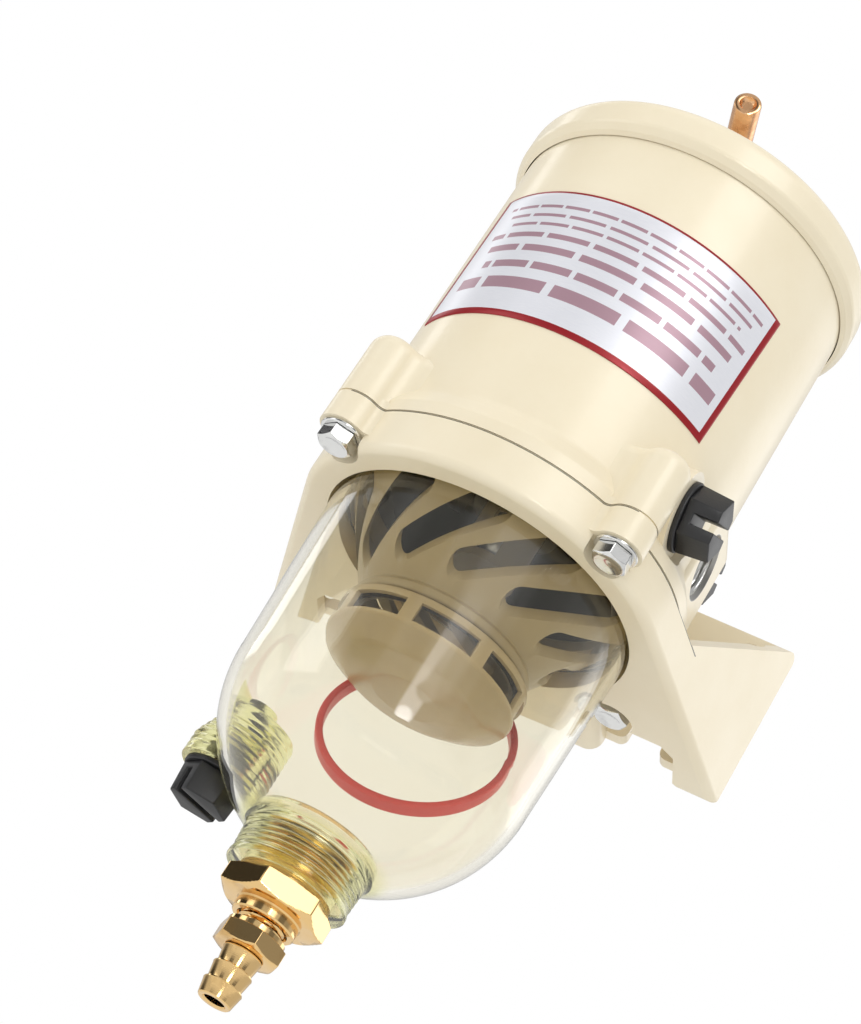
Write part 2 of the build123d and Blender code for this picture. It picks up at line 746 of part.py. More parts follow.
def turbine_cap():
    """Windowed cap with a shallow domed floor under the turbine's neck."""
    w = cap_wall
    window_top_z = cap_top_z - cap_rim_height
    window_low_z = window_top_z - cap_window_height
    floor_edge_z = window_low_z - cap_edge_below
    wall_top_r = turbine_neck_r + cap_fit
    dish = [(cap_r * share, cap_bottom_z + rise) for share, rise in cap_dish]
    cap = turned((wall_top_r, cap_top_z), (cap_r, cap_top_z), (cap_r, floor_edge_z), *dish, (0, cap_bottom_z),
                 (0, cap_bottom_z + w), (dish[0][0], dish[0][1] + w), (cap_r - w, floor_edge_z + w / 2),
                 (cap_r - w, window_top_z), (wall_top_r, window_top_z))
    arc = cap_window_angle
    for i in range(cap_window_count):
        middle = -90 + cap_first_window + 360 / cap_window_count * i
        low = radians(-arc / 2)
        high = radians(arc / 2)
        far = cap_r * 1.4
        wedge = make_face(Polyline((0, 0), (far * cos(low), far * sin(low)), (far * 1.1, 0),
                                   (far * cos(high), far * sin(high)), close=True))
        window = Pos(0, 0, window_low_z) * extrude(wedge, cap_window_height)
        window -= rod(cap_r - w - 1, window_low_z - 1, window_top_z + 1)
        cap -= Rot(0, 0, middle) * window
    return cap


def ball_cage():
    """Cage that keeps the check ball under the hub, open at its sides."""
    low = cage_low_z
    top = hub_low_z + cage_seat_depth
    cage = rod(cage_r + cage_wall, low, top) - rod(cage_r, low + cage_wall, top + 1)
    for i in range(3):
        cage -= Rot(0, 0, 120 * i + 30) * Pos(cage_r, 0, (low + hub_low_z) / 2) * Box(
            2 * cage_r, cage_slot_width, cage_length - 8)
    cage -= rod(cage_drain_r, low - 1, low + cage_wall + 1)
    return cage


def check_ball():
    """The ball that stops fuel draining back; it floats between its cage floor and the seat."""
    return Pos(0, 0, cage_low_z + cage_wall + ball_gap + ball_r) * Sphere(ball_r)


def ball_seat():
    """Rubber seat above the ball."""
    top = hub_low_z + cage_seat_depth
    return rod(cage_r - seat_fit, top - seat_thickness, top) - rod(
        seat_hole_r, top - seat_thickness - 1, top + 1)


def return_tube():
    """Hollow stud that holds the element and takes the T-handle's thread."""
    low = deck_z - tube_seat + tube_end_gap
    tube = rod(tube_r, low, tube_top_z)
    thread_low_z = tube_top_z - handle_engagement - tube_thread_spare
    tube -= rod(handle_thread_r + thread_fit, thread_low_z, tube_top_z + 1)
    tube -= rod(tube_bore_r, low - 1, tube_top_z)
    for drop in tube_window_drops:
        for turn in (0, 90):
            tube -= Rot(0, 0, turn) * bar_x(tube_window_r, -tube_r - 1, tube_r + 1, 0, tube_top_z - drop)
    return tube


def element_base_z():
    """Height of the element's lower cap on the deck."""
    return deck_z + element_clearance


def element_media():
    """Pleated paper ring of the element."""
    low = element_base_z() + element_cap_thickness
    high = element_base_z() + element_height - element_cap_thickness
    outer = element_r - pleat_outer_gap
    points = []
    for i in range(2 * pleat_count):
        r = outer if i % 2 else pleat_inner_r
        a = pi * i / pleat_count
        points.append((r * cos(a), r * sin(a)))
    inner_points = []
    for i in range(2 * pleat_count):
        r = outer - pleat_paper[0] if i % 2 else pleat_inner_r - pleat_paper[1]
        a = pi * i / pleat_count
        inner_points.append((r * cos(a), r * sin(a)))
    star = make_face(Polyline(points, close=True)) - make_face(Polyline(inner_points, close=True))
    return Pos(0, 0, low) * extrude(star, high - low)


def element_cap(low, flip):
    """A shallow end cap with an outer lip round the pleats."""
    cap = rod(element_r, low, low + element_cap_thickness)
    cap += rod(element_r, low, low + element_cap_lip) - rod(
        element_r - element_lip_wall, low - 1, low + element_cap_lip + 1)
    cap -= rod(tube_r + grommet_size, low - 1, low + element_cap_lip + 1)
    if flip:
        middle = low + element_cap_thickness / 2
        cap = Pos(0, 0, middle) * Rot(180, 0, 0) * Pos(0, 0, -middle) * cap
    return cap


def element_bottom_cap():
    """Lower end cap."""
    return element_cap(element_base_z(), False)


def element_top_cap():
    """Upper end cap with the two ears that hold the bail."""
    low = element_base_z() + element_height - element_cap_thickness
    cap = element_cap(low, True)
    top = low + element_cap_thickness
    for side in (-1, 1):
        ear = Pos(side * bail_span, 0, top + ear_height / 2) * Box(ear_thickness, ear_width, ear_height)
        eye_r = bail_wire_r + bail_slack
        ear -= bar_x(eye_r, side * (bail_span - 3), side * (bail_span + 3), 0, top + bail_height)
        cap += ear
    return cap


def element_core():
    """Perforated tube inside the pleats."""
    low = element_base_z() + element_cap_thickness
    high = element_base_z() + element_height - element_cap_thickness
    core = rod(core_r, low, high) - rod(core_r - core_wall, low - 1, high + 1)
    for level in (0.22, 0.5, 0.78):
        z = low + (high - low) * level
        for turn in (0, 60, 120):
            core -= Rot(0, 0, turn + 100 * level) * bar_x(core_hole_r, -core_r - 1, core_r + 1, 0, z)
    return core


def element_grommets():
    """Rubber rings that seal both end caps on the return tube."""
    low = element_base_z()
    high = low + element_height - element_cap_thickness
    return [rod(tube_r + grommet_size - grommet_fit, z, z + element_cap_thickness)
            - rod(tube_r + grommet_fit, z - 1, z + element_cap_thickness + 1) for z in (low, high)]


def element_bail():
    """Folded-down wire handle that lifts the element out."""
    top = element_base_z() + element_height
    z = top + bail_height
    reach = bail_span + ear_thickness / 2 + bail_wire_r + bail_slack
    tip = bail_span - ear_thickness / 2 - bail_wire_r
    route = FilletPolyline((-tip, 0, z), (-reach, 0, z), (-reach, -bail_fold, z), (reach, -bail_fold, z),
                           (reach, 0, z), (tip, 0, z), radius=2 * bail_wire_r)
    return sweep(Plane(origin=(-tip, 0, z), z_dir=(-1, 0, 0)) * Circle(bail_wire_r), route)


def lid():
    """Cast lid with a deep rim, a sunk pan and a raised hub for the T-handle."""
    pan_z = lid_height - lid_pan_depth
    under_z = rim_height + lid_gasket_height
    pan_top_r = lid_pan_r + lid_slope
    hub_foot_r = lid_hub_r + lid_slope
    skirt = [(lid_r - cut, height) for cut, height in lid_skirt]
    cap = turned((0, under_z), (body_r + lid_gap, under_z), (body_r + lid_gap, 0), *skirt,
                 (lid_r, lid_height), (pan_top_r, lid_height), (lid_pan_r, pan_z),
                 (hub_foot_r, pan_z), (lid_hub_r, lid_top_z), (0, lid_top_z))
    cap = fillet(circles_at(cap, lid_height, lid_r), lid_edge_r)
    cap = fillet(circles_at(cap, lid_height, pan_top_r) + circles_at(cap, pan_z, lid_pan_r), lid_pan_blend)
    cap = fillet(circles_at(cap, lid_top_z, lid_hub_r) + circles_at(cap, pan_z, hub_foot_r), lid_pan_blend)
    cap = fillet(circles_at(cap, lid_skirt[1][1], lid_r), lid_skirt_r)
    cap -= rod(handle_thread_r + lid_hole_clearance, -1, lid_top_z + 1)
    cap -= rod(lid_inner_r, under_z - 1, under_z + lid_relief)
    collar = rod(lid_hub_r - 2, under_z - handle_collar_drop, lid_top_z - 1)
    cap += collar - rod(handle_thread_r + lid_hole_clearance, -1, lid_top_z + 1)
    return cap


def lid_gasket():
    """Square seal between the canister's rim and the lid."""
    return rod(body_r - 0.2, rim_height, rim_height + lid_gasket_height) - rod(
        body_r - body_wall + 0.2, rim_height - 1, rim_height + lid_gasket_height + 1)


def handle_washer():
    """Steel washer between the T-handle's shoulder and the lid."""
    return rod(handle_washer_r, lid_top_z, washer_top_z) - rod(
        handle_thread_r + stem_fit, lid_top_z - 1, washer_top_z + 1)


def handle_stem():
    """Turned stem of the T-handle, threaded at its foot."""
    stem = rod(handle_thread_r, tube_top_z - handle_engagement, washer_top_z)
    stem = chamfer(stem.edges().sort_by(Axis.Z)[0], handle_foot_chamfer)
    head_top = handle_bar_height + handle_head_above
    head = rod(handle_shoulder_r, washer_top_z, head_top)
    head = fillet(circles_at(head, head_top, handle_shoulder_r), handle_head_edge_r)
    hole = Rot(0, 0, handle_bar_angle) * bar_y(handle_bar_r, -20, 20, 0, handle_bar_height)
    return stem + head - hole


def handle_bar():
    """Cross bar of the T-handle, pressed through the stem."""
    half = handle_bar_length / 2
    bar = bar_y(handle_bar_r, -half, half, 0, handle_bar_height)
    bar = fillet(bar.edges().filter_by(GeomType.CIRCLE), handle_bar_edge_r)
    return Rot(0, 0, handle_bar_angle) * bar


def handle_seal():
    """Seal round the stem in the lid's hub."""
    z = rim_height + lid_gasket_height - handle_collar_drop - handle_seal_r
    return seal_ring(handle_thread_r + handle_seal_r + 0.1, handle_seal_r, z)


def drain_top_z():
    """Height of the drain body's sealing shoulder."""
    return drain_boss_rim_z - drain_seal_thickness


def drain_low_z():
    """Height of the drain body's lower end."""
    return drain_top_z() - drain_hex_height - drain_neck_height


def drain_body():
    """Brass drain body: spigot into the bowl, large hexagon and a round neck."""
    top = drain_top_z()
    hex_low = top - drain_hex_height
    body = chamfered_hexagon(drain_hex_across, hex_low, top, hex_turn, drain_hex_chamfer)
    body += rod(drain_bore_r - stem_fit, top, top + drain_spigot_length)
    body += rod(drain_neck_r, drain_low_z(), hex_low)
    body -= rod(stem_thread_r + stem_fit, drain_low_z() - 1, drain_low_z() + stem_depth + stem_end_gap)
    body -= rod(stem_bore_r, drain_low_z(), top + drain_spigot_length + 1)
    return body


def drain_seal():
    """Flat seal between the bowl's boss and the drain body."""
    return rod(drain_hex_across / 2 - 0.2, drain_top_z(), drain_boss_rim_z) - rod(
        drain_bore_r, drain_top_z() - 1, drain_boss_rim_z + 1)


def drain_stem():
    """Drain screw: threaded shank, small hexagon and a three-barb hose tail."""
    seat = drain_low_z()
    hex_top = seat - stem_gap
    hex_low = hex_top - stem_hex_height
    stem = rod(stem_thread_r, hex_top, seat + stem_depth)
    stem += chamfered_hexagon(stem_hex_across, hex_low, hex_top, stem_hex_turn, stem_hex_chamfer)
    outline = [(0, hex_low)]
    z = hex_low
    for i in range(barb_count):
        outline += [(barb_r, z), (barb_r, z - barb_edge), (barb_neck_r, z - barb_pitch)]
        z -= barb_pitch
    outline += [(0, z)]
    stem += turned(*outline)
    stem -= rod(stem_bore_r, z - 1, seat + stem_depth + 1)
    return stem


def drain_stem_seal():
    """Seal ring that travels with the drain screw."""
    z = drain_low_z() - stem_gap
    return rod(stem_thread_r + stem_seal_width, z, z + stem_seal_height) - rod(
        stem_thread_r + stem_fit, z - 1, z + stem_seal_height + 1)


def bowl_ring():
    """Loose red ring that leans against the back of the bowl."""
    band = Cylinder(ring_r, ring_width) - Cylinder(ring_r - ring_band, ring_width + 2)
    return Pos(0, ring_y, ring_z) * Rot(90 - ring_lean, 0, 0) * band


NODES = {
    "body_casting": body_casting,
    "name_plate": name_plate,
    "bracket": bracket,
    "ring_screws": ring_screws,
    "ring_washers": ring_washers,
    "bowl": bowl,
    "bowl_gasket": bowl_gasket,
    "port_plugs": port_plugs,
    "port_plug_seals": port_plug_seals,
    "probe_plug": probe_plug,
    "probe_plug_seal": probe_plug_seal,
    "turbine": turbine,
    "turbine_cap": turbine_cap,
    "ball_cage": ball_cage,
    "check_ball": check_ball,
    "ball_seat": ball_seat,
    "return_tube": return_tube,
    "element_media": element_media,
    "element_top_cap": element_top_cap,
    "element_bottom_cap": element_bottom_cap,
    "element_core": element_core,
    "element_grommets": element_grommets,
    "element_bail": element_bail,
    "lid": lid,
    "lid_gasket": lid_gasket,
    "handle_washer": handle_washer,
    "handle_stem": handle_stem,
    "handle_bar": handle_bar,
    "handle_seal": handle_seal,
    "drain_body": drain_body,
    "drain_seal": drain_seal,
    "drain_stem": drain_stem,
    "drain_stem_seal": drain_stem_seal,
    "bowl_ring": bowl_ring,
}

os.makedirs("parts", exist_ok=True)
for node, make in NODES.items():
    made = make()
    solids = made if isinstance(made, list) else [made]
    placed = [PLACE * s for s in solids]
    export_step(placed[0] if len(placed) == 1 else Compound(children=placed), f"parts/{node}.step")
    print(node, len(placed))
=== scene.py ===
import math

import bmesh
import bpy
from mathutils import Matrix, Vector


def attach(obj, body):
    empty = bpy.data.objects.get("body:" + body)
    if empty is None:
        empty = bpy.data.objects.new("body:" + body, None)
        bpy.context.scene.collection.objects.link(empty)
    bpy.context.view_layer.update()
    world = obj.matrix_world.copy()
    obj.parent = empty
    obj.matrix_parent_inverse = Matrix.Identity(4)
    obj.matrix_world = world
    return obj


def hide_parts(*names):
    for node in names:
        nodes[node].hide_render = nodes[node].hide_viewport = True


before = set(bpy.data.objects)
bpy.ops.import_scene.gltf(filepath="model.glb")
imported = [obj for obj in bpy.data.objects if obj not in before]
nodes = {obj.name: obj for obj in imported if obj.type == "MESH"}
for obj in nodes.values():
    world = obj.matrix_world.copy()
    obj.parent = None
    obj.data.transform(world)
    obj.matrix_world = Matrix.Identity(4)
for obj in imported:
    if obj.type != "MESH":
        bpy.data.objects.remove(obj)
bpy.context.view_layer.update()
print("frame loaded:", len(nodes), "nodes")

# lengths below are in mm about the filter's own axis, with z = 0 at the lid's lower edge
toRow = Matrix.Translation((0, -0.0647, 0.093)) @ Matrix.Scale(0.001, 4)
scene = bpy.context.scene


# mesh helpers
def meshPiece(name, bm):
    bmesh.ops.remove_doubles(bm, verts=bm.verts, dist=1e-4)
    bmesh.ops.recalc_face_normals(bm, faces=bm.faces)
    mesh = bpy.data.meshes.new(name)
    bm.to_mesh(mesh)
    bm.free()
    piece = bpy.data.objects.new(name, mesh)
    scene.collection.objects.link(piece)
    return piece


def applyModifiers(piece):
    bpy.context.view_layer.update()
    ready = piece.evaluated_get(bpy.context.evaluated_depsgraph_get())
    mesh = bpy.data.meshes.new_from_object(ready)
    piece.modifiers.clear()
    piece.data = mesh


def carve(piece, tool, how="DIFFERENCE"):
    cut = piece.modifiers.new("cut", "BOOLEAN")
    cut.operation = how
    cut.solver = "EXACT"
    cut.object = tool
    applyModifiers(piece)
    bpy.data.objects.remove(tool)


def softenEdges(piece, width, segments=2, angle=30):
    bevel = piece.modifiers.new("edges", "BEVEL")
    bevel.width = width
    bevel.segments = segments
    bevel.limit_method = "ANGLE"
    bevel.angle_limit = math.radians(angle)
    bevel.use_clamp_overlap = True
    applyModifiers(piece)


def settle(piece, body, mat, smoothAngle, *replaced):
    mesh = piece.data
    mesh.transform(toRow)
    mesh.polygons.foreach_set("use_smooth", [True] * len(mesh.polygons))
    mesh.set_sharp_from_angle(angle=math.radians(smoothAngle))
    mesh.materials.clear()
    mesh.materials.append(mat)
    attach(piece, body)
    if replaced:
        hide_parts(*replaced)


def rounded(corners, steps=5):
    # corners are (radius, height, rounding); each one becomes an arc of that rounding
    points = []
    count = len(corners)
    for k in range(count):
        r, z, soft = corners[k]
        here = Vector((r, z))
        if soft <= 0:
            points.append((r, z))
            continue
        before = (Vector(corners[k - 1][:2]) - here).normalized()
        after = (Vector(corners[(k + 1) % count][:2]) - here).normalized()
        half = before.angle(after) / 2
        reach = soft / math.tan(half)
        centre = here + (before + after).normalized() * (soft / math.sin(half))
        first = here + before * reach - centre
        last = here + after * reach - centre
        swing = first.angle_signed(last)
        for i in range(steps + 1):
            a = -swing * i / steps
            turned = Vector((first.x * math.cos(a) - first.y * math.sin(a),
                             first.x * math.sin(a) + first.y * math.cos(a)))
            points.append(tuple(centre + turned))
    return points


def joinRings(bm, low, high):
    count = len(low)
    for i in range(count):
        j = (i + 1) % count
        bm.faces.new((low[i], low[j], high[j], high[i]))


def addLoop(bm, rings, closed=True):
    # rings are equal lists of points; neighbours are joined, and open ends are capped
    made = [[bm.verts.new(p) for p in ring] for ring in rings]
    for low, high in zip(made, made[1:]):
        joinRings(bm, low, high)
    if closed:
        joinRings(bm, made[-1], made[0])
    else:
        bm.faces.new(made[0])
        bm.faces.new(list(reversed(made[-1])))


def ringPoints(radius, z, steps, place=None):
    # radius is a number or a function of the angle, and steps a count or a list of angles
    angles = steps if isinstance(steps, list) else [2 * math.pi * i / steps for i in range(steps)]
    points = []
    for a in angles:
        r = radius(a) if callable(radius) else radius
        p = Vector((r * math.cos(a), r * math.sin(a), z))
        points.append(place @ p if place else p)
    return points


def addLevels(bm, levels, steps, place=None, closed=True):
    addLoop(bm, [ringPoints(r, z, steps, place) for r, z in levels], closed)


def addLathe(bm, outline, steps=128, place=None):
    # outline is (radius, height): a closed loop, or a line that starts and ends on the axis
    if outline[0][0] > 1e-6:
        addLevels(bm, outline, steps, place)
        return
    rings = [[bm.verts.new(v) for v in ringPoints(r, z, steps, place)] for r, z in outline[1:-1]]
    for low, high in zip(rings, rings[1:]):
        joinRings(bm, low, high)
    for ring, point in ((rings[0], outline[0]), (rings[-1], outline[-1])):
        tip = Vector((0, 0, point[1]))
        tip = bm.verts.new(place @ tip if place else tip)
        for i in range(steps):
            bm.faces.new((ring[i], ring[(i + 1) % steps], tip))


def lathePiece(name, outline, steps=128, place=None):
    bm = bmesh.new()
    addLathe(bm, outline, steps, place)
    return meshPiece(name, bm)


def levelsPiece(name, levels, steps, place=None, closed=True):
    bm = bmesh.new()
    addLevels(bm, levels, steps, place, closed)
    return meshPiece(name, bm)


def turnedTo(x, y, z, *turns):
    place = Matrix.Translation((x, y, z))
    for axis, degrees in turns:
        place = place @ Matrix.Rotation(math.radians(degrees), 4, axis)
    return place


def hexAngles():
    # angles round a hexagon, closer together at its corners
    part = [-30, -29.35, -28.7, -27.6, -25, -20, -15, -10, -5, 0, 5, 10, 15, 20, 25, 27.6, 28.7, 29.35]
    return [math.radians(60 * k + a) for k in range(6) for a in part]


def hexRadius(flat, soft):
    # distance to a hexagon with rounded corners, as a function of the angle; its flats lie at 60 k
    inner = (flat - soft) / math.cos(math.pi / 6)

    def radius(a):
        local = (a + math.pi / 6) % (math.pi / 3) - math.pi / 6
        if flat * abs(math.tan(local)) <= (flat - soft) * math.tan(math.pi / 6):
            return flat / math.cos(local)
        away = math.pi / 6 - abs(local)
        return inner * math.cos(away) + math.sqrt(max(0.0, soft ** 2 - (inner * math.sin(away)) ** 2))

    return radius


def lesser(a, b, blend):
    # the smaller of two lengths, with the change from one to the other rounded
    h = max(0.0, min(1.0, 0.5 + 0.5 * (b - a) / blend))
    return b + (a - b) * h - blend * h * (1 - h)


def hexRing(flat, soft, limit, blend=0.25):
    shape = hexRadius(flat, soft)
    return lambda a: lesser(shape(a), limit, blend)


def hexLevels(flat, soft, low, high, cutLow, cutHigh, edge=0.35, steps=9):
    # rings of a chamfered hexagon between two heights
    tip = flat / math.cos(math.pi / 6) + 0.3
    levels = [(hexRing(flat, soft, flat - edge + (tip - flat + edge) * i / steps), low + cutLow * i / steps)
              for i in range(steps + 1)]
    levels += [(hexRing(flat, soft, tip - (tip - flat + edge) * i / steps),
                high - cutHigh * (1 - i / steps)) for i in range(steps + 1)]
    return levels


def threadLevels(radius, depth, pitch, low, high, step=6):
    # rings of a helical thread, as heights with radius functions
    count = max(2, round((high - low) / pitch * step))
    levels = []
    for i in range(count + 1):
        z = low + (high - low) * i / count
        fade = min(1.0, (z - low) / pitch * 2, (high - z) / pitch * 2)

        def radiusAt(a, z=z, fade=fade):
            phase = (z / pitch - a / (2 * math.pi)) % 1.0
            return radius - depth * fade * (1 - abs(2 * phase - 1))

        levels.append((radiusAt, z))
    return levels


# shader helpers
def feed(tree, node, **inputs):
    # a socket is linked and a value is set; i0, i1 and so on name an input by its place
    for key, value in inputs.items():
        name = int(key[1:]) if key[0] == "i" and key[1:].isdigit() else key.replace("_", " ")
        if isinstance(value, bpy.types.NodeSocket):
            tree.links.new(value, node.inputs[name])
        else:
            node.inputs[name].default_value = value
    return node


def addNode(tree, kind, settings=None, **inputs):
    node = tree.nodes.new(kind)
    for key, value in (settings or {}).items():
        setattr(node, key, value)
    return feed(tree, node, **inputs)


def newGroup(name, inputs, outputs):
    group = bpy.data.node_groups.new(name, "ShaderNodeTree")
    for label, kind, value in inputs:
        group.interface.new_socket(label, in_out="INPUT", socket_type=kind).default_value = value
    for label, kind in outputs:
        group.interface.new_socket(label, in_out="OUTPUT", socket_type=kind)
    return group, addNode(group, "NodeGroupInput").outputs, addNode(group, "NodeGroupOutput")


def calc(tree, operation, a, b=0.0, clamp=False):
    # a multiply-add keeps its third input at 0.5
    node = addNode(tree, "ShaderNodeMath", {"operation": operation, "use_clamp": clamp}, i0=a, i1=b)
    return node.outputs[0]


def under(tree, value, limit):
    return calc(tree, "LESS_THAN", value, limit)


def meet(tree, *masks):
    # the place where all the masks hold
    whole = masks[0]
    for mask in masks[1:]:
        whole = calc(tree, "MULTIPLY", whole, mask)
    return whole


def flatLength(tree, x, y):
    squares = calc(tree, "ADD", calc(tree, "MULTIPLY", x, x), calc(tree, "MULTIPLY", y, y))
    return calc(tree, "SQRT", squares)


def smooth(tree, value, low, high, start=0.0, end=1.0):
    return addNode(tree, "ShaderNodeMapRange", {"interpolation_type": "SMOOTHSTEP"}, Value=value,
                   From_Min=low, From_Max=high, To_Min=start, To_Max=end).outputs[0]


def mixColours(tree, factor, a, b):
    return addNode(tree, "ShaderNodeMix", {"data_type": "RGBA"}, i0=factor, i6=a, i7=b).outputs[2]


def mixNumbers(tree, factor, a, b):
    return addNode(tree, "ShaderNodeMix", {"data_type": "FLOAT"}, i0=factor, i2=a, i3=b).outputs[0]


def newMaterial(name):
    mat = bpy.data.materials.new(name)
    mat.use_nodes = True
    return mat, mat.node_tree, mat.node_tree.nodes["Principled BSDF"]


def dress(nodeName, mat):
    slots = nodes[nodeName].data.materials
    for i in range(len(slots)):
        slots[i] = mat
    if not len(slots):
        slots.append(mat)


# outputs of both look groups
lookSockets = [("Color", "NodeSocketColor"), ("Roughness", "NodeSocketFloat"),
               ("Normal", "NodeSocketVector")]


# skin: fine relief and patches of more or less gloss, for plastic, rubber and paint
def makeSkin():
    group, given, out = newGroup("skin", [
        ("Grain", "NodeSocketFloat", 900.0), ("Relief", "NodeSocketFloat", 0.2),
        ("Gloss", "NodeSocketFloat", 0.35), ("Spread", "NodeSocketFloat", 0.1),
        ("Light", "NodeSocketColor", (0.8, 0.8, 0.8, 1)), ("Dark", "NodeSocketColor", (0.6, 0.6, 0.6, 1)),
    ], lookSockets)
    coords = addNode(group, "ShaderNodeTexCoord").outputs["Object"]
    fine = addNode(group, "ShaderNodeTexNoise", Vector=coords, Scale=given["Grain"], Detail=3.0)
    broad = addNode(group, "ShaderNodeTexNoise", Vector=coords, Scale=38.0, Detail=5.0, Roughness=0.6)
    relief = addNode(group, "ShaderNodeBump", Strength=given["Relief"], Distance=0.0001,
                     Height=fine.outputs[0])
    away = calc(group, "SUBTRACT", broad.outputs[0], 0.5)
    rough = calc(group, "ADD", given["Gloss"], calc(group, "MULTIPLY", away, given["Spread"]))
    shade = mixColours(group, calc(group, "MULTIPLY_ADD", away, 1.6, True), given["Light"], given["Dark"])
    feed(group, out, Color=shade, Roughness=rough, Normal=relief.outputs[0])
    return group


# turned: lathe marks round the axis, faint scratches and tarnish, for the metals
def makeTurned():
    group, given, out = newGroup("turned", [
        ("Bright", "NodeSocketColor", (0.8, 0.8, 0.8, 1)),
        ("Tarnish", "NodeSocketColor", (0.4, 0.4, 0.4, 1)),
        ("Gloss", "NodeSocketFloat", 0.2), ("Marks", "NodeSocketFloat", 0.15),
    ], lookSockets)
    coords = addNode(group, "ShaderNodeTexCoord").outputs["Object"]
    stretch = addNode(group, "ShaderNodeMapping", Vector=coords, Scale=(60.0, 60.0, 5200.0))
    lines = addNode(group, "ShaderNodeTexNoise", Vector=stretch.outputs[0], Scale=1.0, Detail=2.0)
    stain = addNode(group, "ShaderNodeTexNoise", Vector=coords, Scale=85.0, Detail=6.0, Roughness=0.62)
    relief = addNode(group, "ShaderNodeBump", Strength=given["Marks"], Distance=0.00004,
                     Height=lines.outputs[0])
    patch = addNode(group, "ShaderNodeMapRange", Value=stain.outputs[0], From_Min=0.52, From_Max=0.78)
    shade = mixColours(group, patch.outputs[0], given["Bright"], given["Tarnish"])
    rough = calc(group, "ADD", calc(group, "MULTIPLY", patch.outputs[0], 0.18), given["Gloss"])
    feed(group, out, Color=shade, Roughness=rough, Normal=relief.outputs[0])
    return group


# about the axis: place and distance about an upright line, for masks; lengths in metres
def makeAboutAxis():
    group, given, out = newGroup("aboutAxis", [("Shift", "NodeSocketVector", (0.0, 0.0, 0.0))],
                                 [(label, "NodeSocketFloat") for label in ("X", "Y", "Z", "Reach")])
    coords = addNode(group, "ShaderNodeTexCoord").outputs["Object"]
    moved = addNode(group, "ShaderNodeVectorMath", {"operation": "ADD"}, i0=coords, i1=given["Shift"])
    x, y, z = addNode(group, "ShaderNodeSeparateXYZ", Vector=moved.outputs[0]).outputs
    feed(group, out, X=x, Y=y, Z=z, Reach=flatLength(group, x, y))
    return group


skin = makeSkin()
turned = makeTurned()
aboutAxis = makeAboutAxis()


def placeAbout(tree, shift=(0.0, 0.0647, 0.0)):
    # about the filter's axis, unless another shift is given
    return addNode(tree, "ShaderNodeGroup", {"node_tree": aboutAxis}, Shift=shift).outputs


def lookMaterial(name, group, **values):
    mat, tree, shader = newMaterial(name)
    look = addNode(tree, "ShaderNodeGroup", {"node_tree": group}, **values).outputs
    feed(tree, shader, Base_Color=look["Color"], Roughness=look["Roughness"], Normal=look["Normal"])
    return mat, tree, shader, look


def skinMaterial(name, light, dark, gloss, spread, grain, relief):
    return lookMaterial(name, skin, Grain=grain, Relief=relief, Gloss=gloss, Spread=spread,
                        Light=(*light, 1), Dark=(*dark, 1))


def metalMaterial(name, bright, tarnish, gloss, marks):
    mat, tree, shader, look = lookMaterial(name, turned, Bright=(*bright, 1), Tarnish=(*tarnish, 1),
                                           Gloss=gloss, Marks=marks)
    feed(tree, shader, Metallic=1.0)
    return mat


# powder coat: cream with a slight orange peel, and a dark seam where the ring meets the canister,
# with painted shade, near black, inside the canister, and bare metal in its ports; lengths in metres
paintSetup = {
    "seam": -0.0158, "seamHalf": 0.0002, "seamReach": 0.0635, "seamBack": 0.012,
    "shadeInsideReach": 0.0478, "shadeInsideTop": 0.0275,
    "portY": 0.003, "portZ": 0.0057, "portReach": 0.0099, "portStart": 0.042,
}


def makePaint(name, shadeInsideBarePorts):
    s = paintSetup
    mat, tree, shader, look = skinMaterial(name, (0.87, 0.785, 0.60), (0.82, 0.72, 0.52), 0.36, 0.12,
                                           520.0, 0.3)
    feed(tree, shader, Coat_Weight=0.25, Coat_Roughness=0.12)
    x, y, z, away = placeAbout(tree)
    fromSeam = calc(tree, "ABSOLUTE", calc(tree, "SUBTRACT", z, s["seam"]))
    seam = meet(tree, under(tree, fromSeam, s["seamHalf"]), under(tree, away, s["seamReach"]))
    if not shadeInsideBarePorts:
        seam = meet(tree, seam, under(tree, y, s["seamBack"]))
    coat = mixColours(tree, seam, look["Color"], (0.06, 0.05, 0.035, 1))
    # painted shade: near black inside the canister's chamber, where it lies in shadow; the ports are bare
    # metal
    if shadeInsideBarePorts:
        room = meet(tree, under(tree, away, s["shadeInsideReach"]), under(tree, z, s["shadeInsideTop"]))
        portAway = flatLength(tree, calc(tree, "SUBTRACT", y, s["portY"]),
                              calc(tree, "SUBTRACT", z, s["portZ"]))
        port = meet(tree, under(tree, portAway, s["portReach"]),
                    calc(tree, "GREATER_THAN", calc(tree, "ABSOLUTE", x), s["portStart"]))
        coat = mixColours(tree, room, coat, (0.008, 0.008, 0.009, 1))
        coat = mixColours(tree, port, coat, (0.36, 0.35, 0.33, 1))
        feed(tree, shader, Metallic=port)
    feed(tree, shader, Base_Color=coat)
    return mat


paint = makePaint("creamPaint", False)
bodyPaint = makePaint("creamPaintBody", True)
blackPlastic = skinMaterial("blackPlastic", (0.018, 0.018, 0.019), (0.008, 0.008, 0.009), 0.42, 0.2,
                            1500.0, 0.35)[0]
rubber = skinMaterial("rubber", (0.03, 0.03, 0.03), (0.012, 0.012, 0.012), 0.62, 0.2, 1200.0, 0.4)[0]
turbinePlastic = skinMaterial("turbinePlastic", (0.40, 0.325, 0.195), (0.32, 0.25, 0.14), 0.3, 0.12,
                              1000.0, 0.15)[0]

# cap plastic: amber, with painted shade, near black, inside the cap above its dished floor; lengths in
# metres
capShade = {"radius": 0.0283, "bend": 3.0, "rise": 0.0065, "floor": -0.0682, "inside": 0.0269}


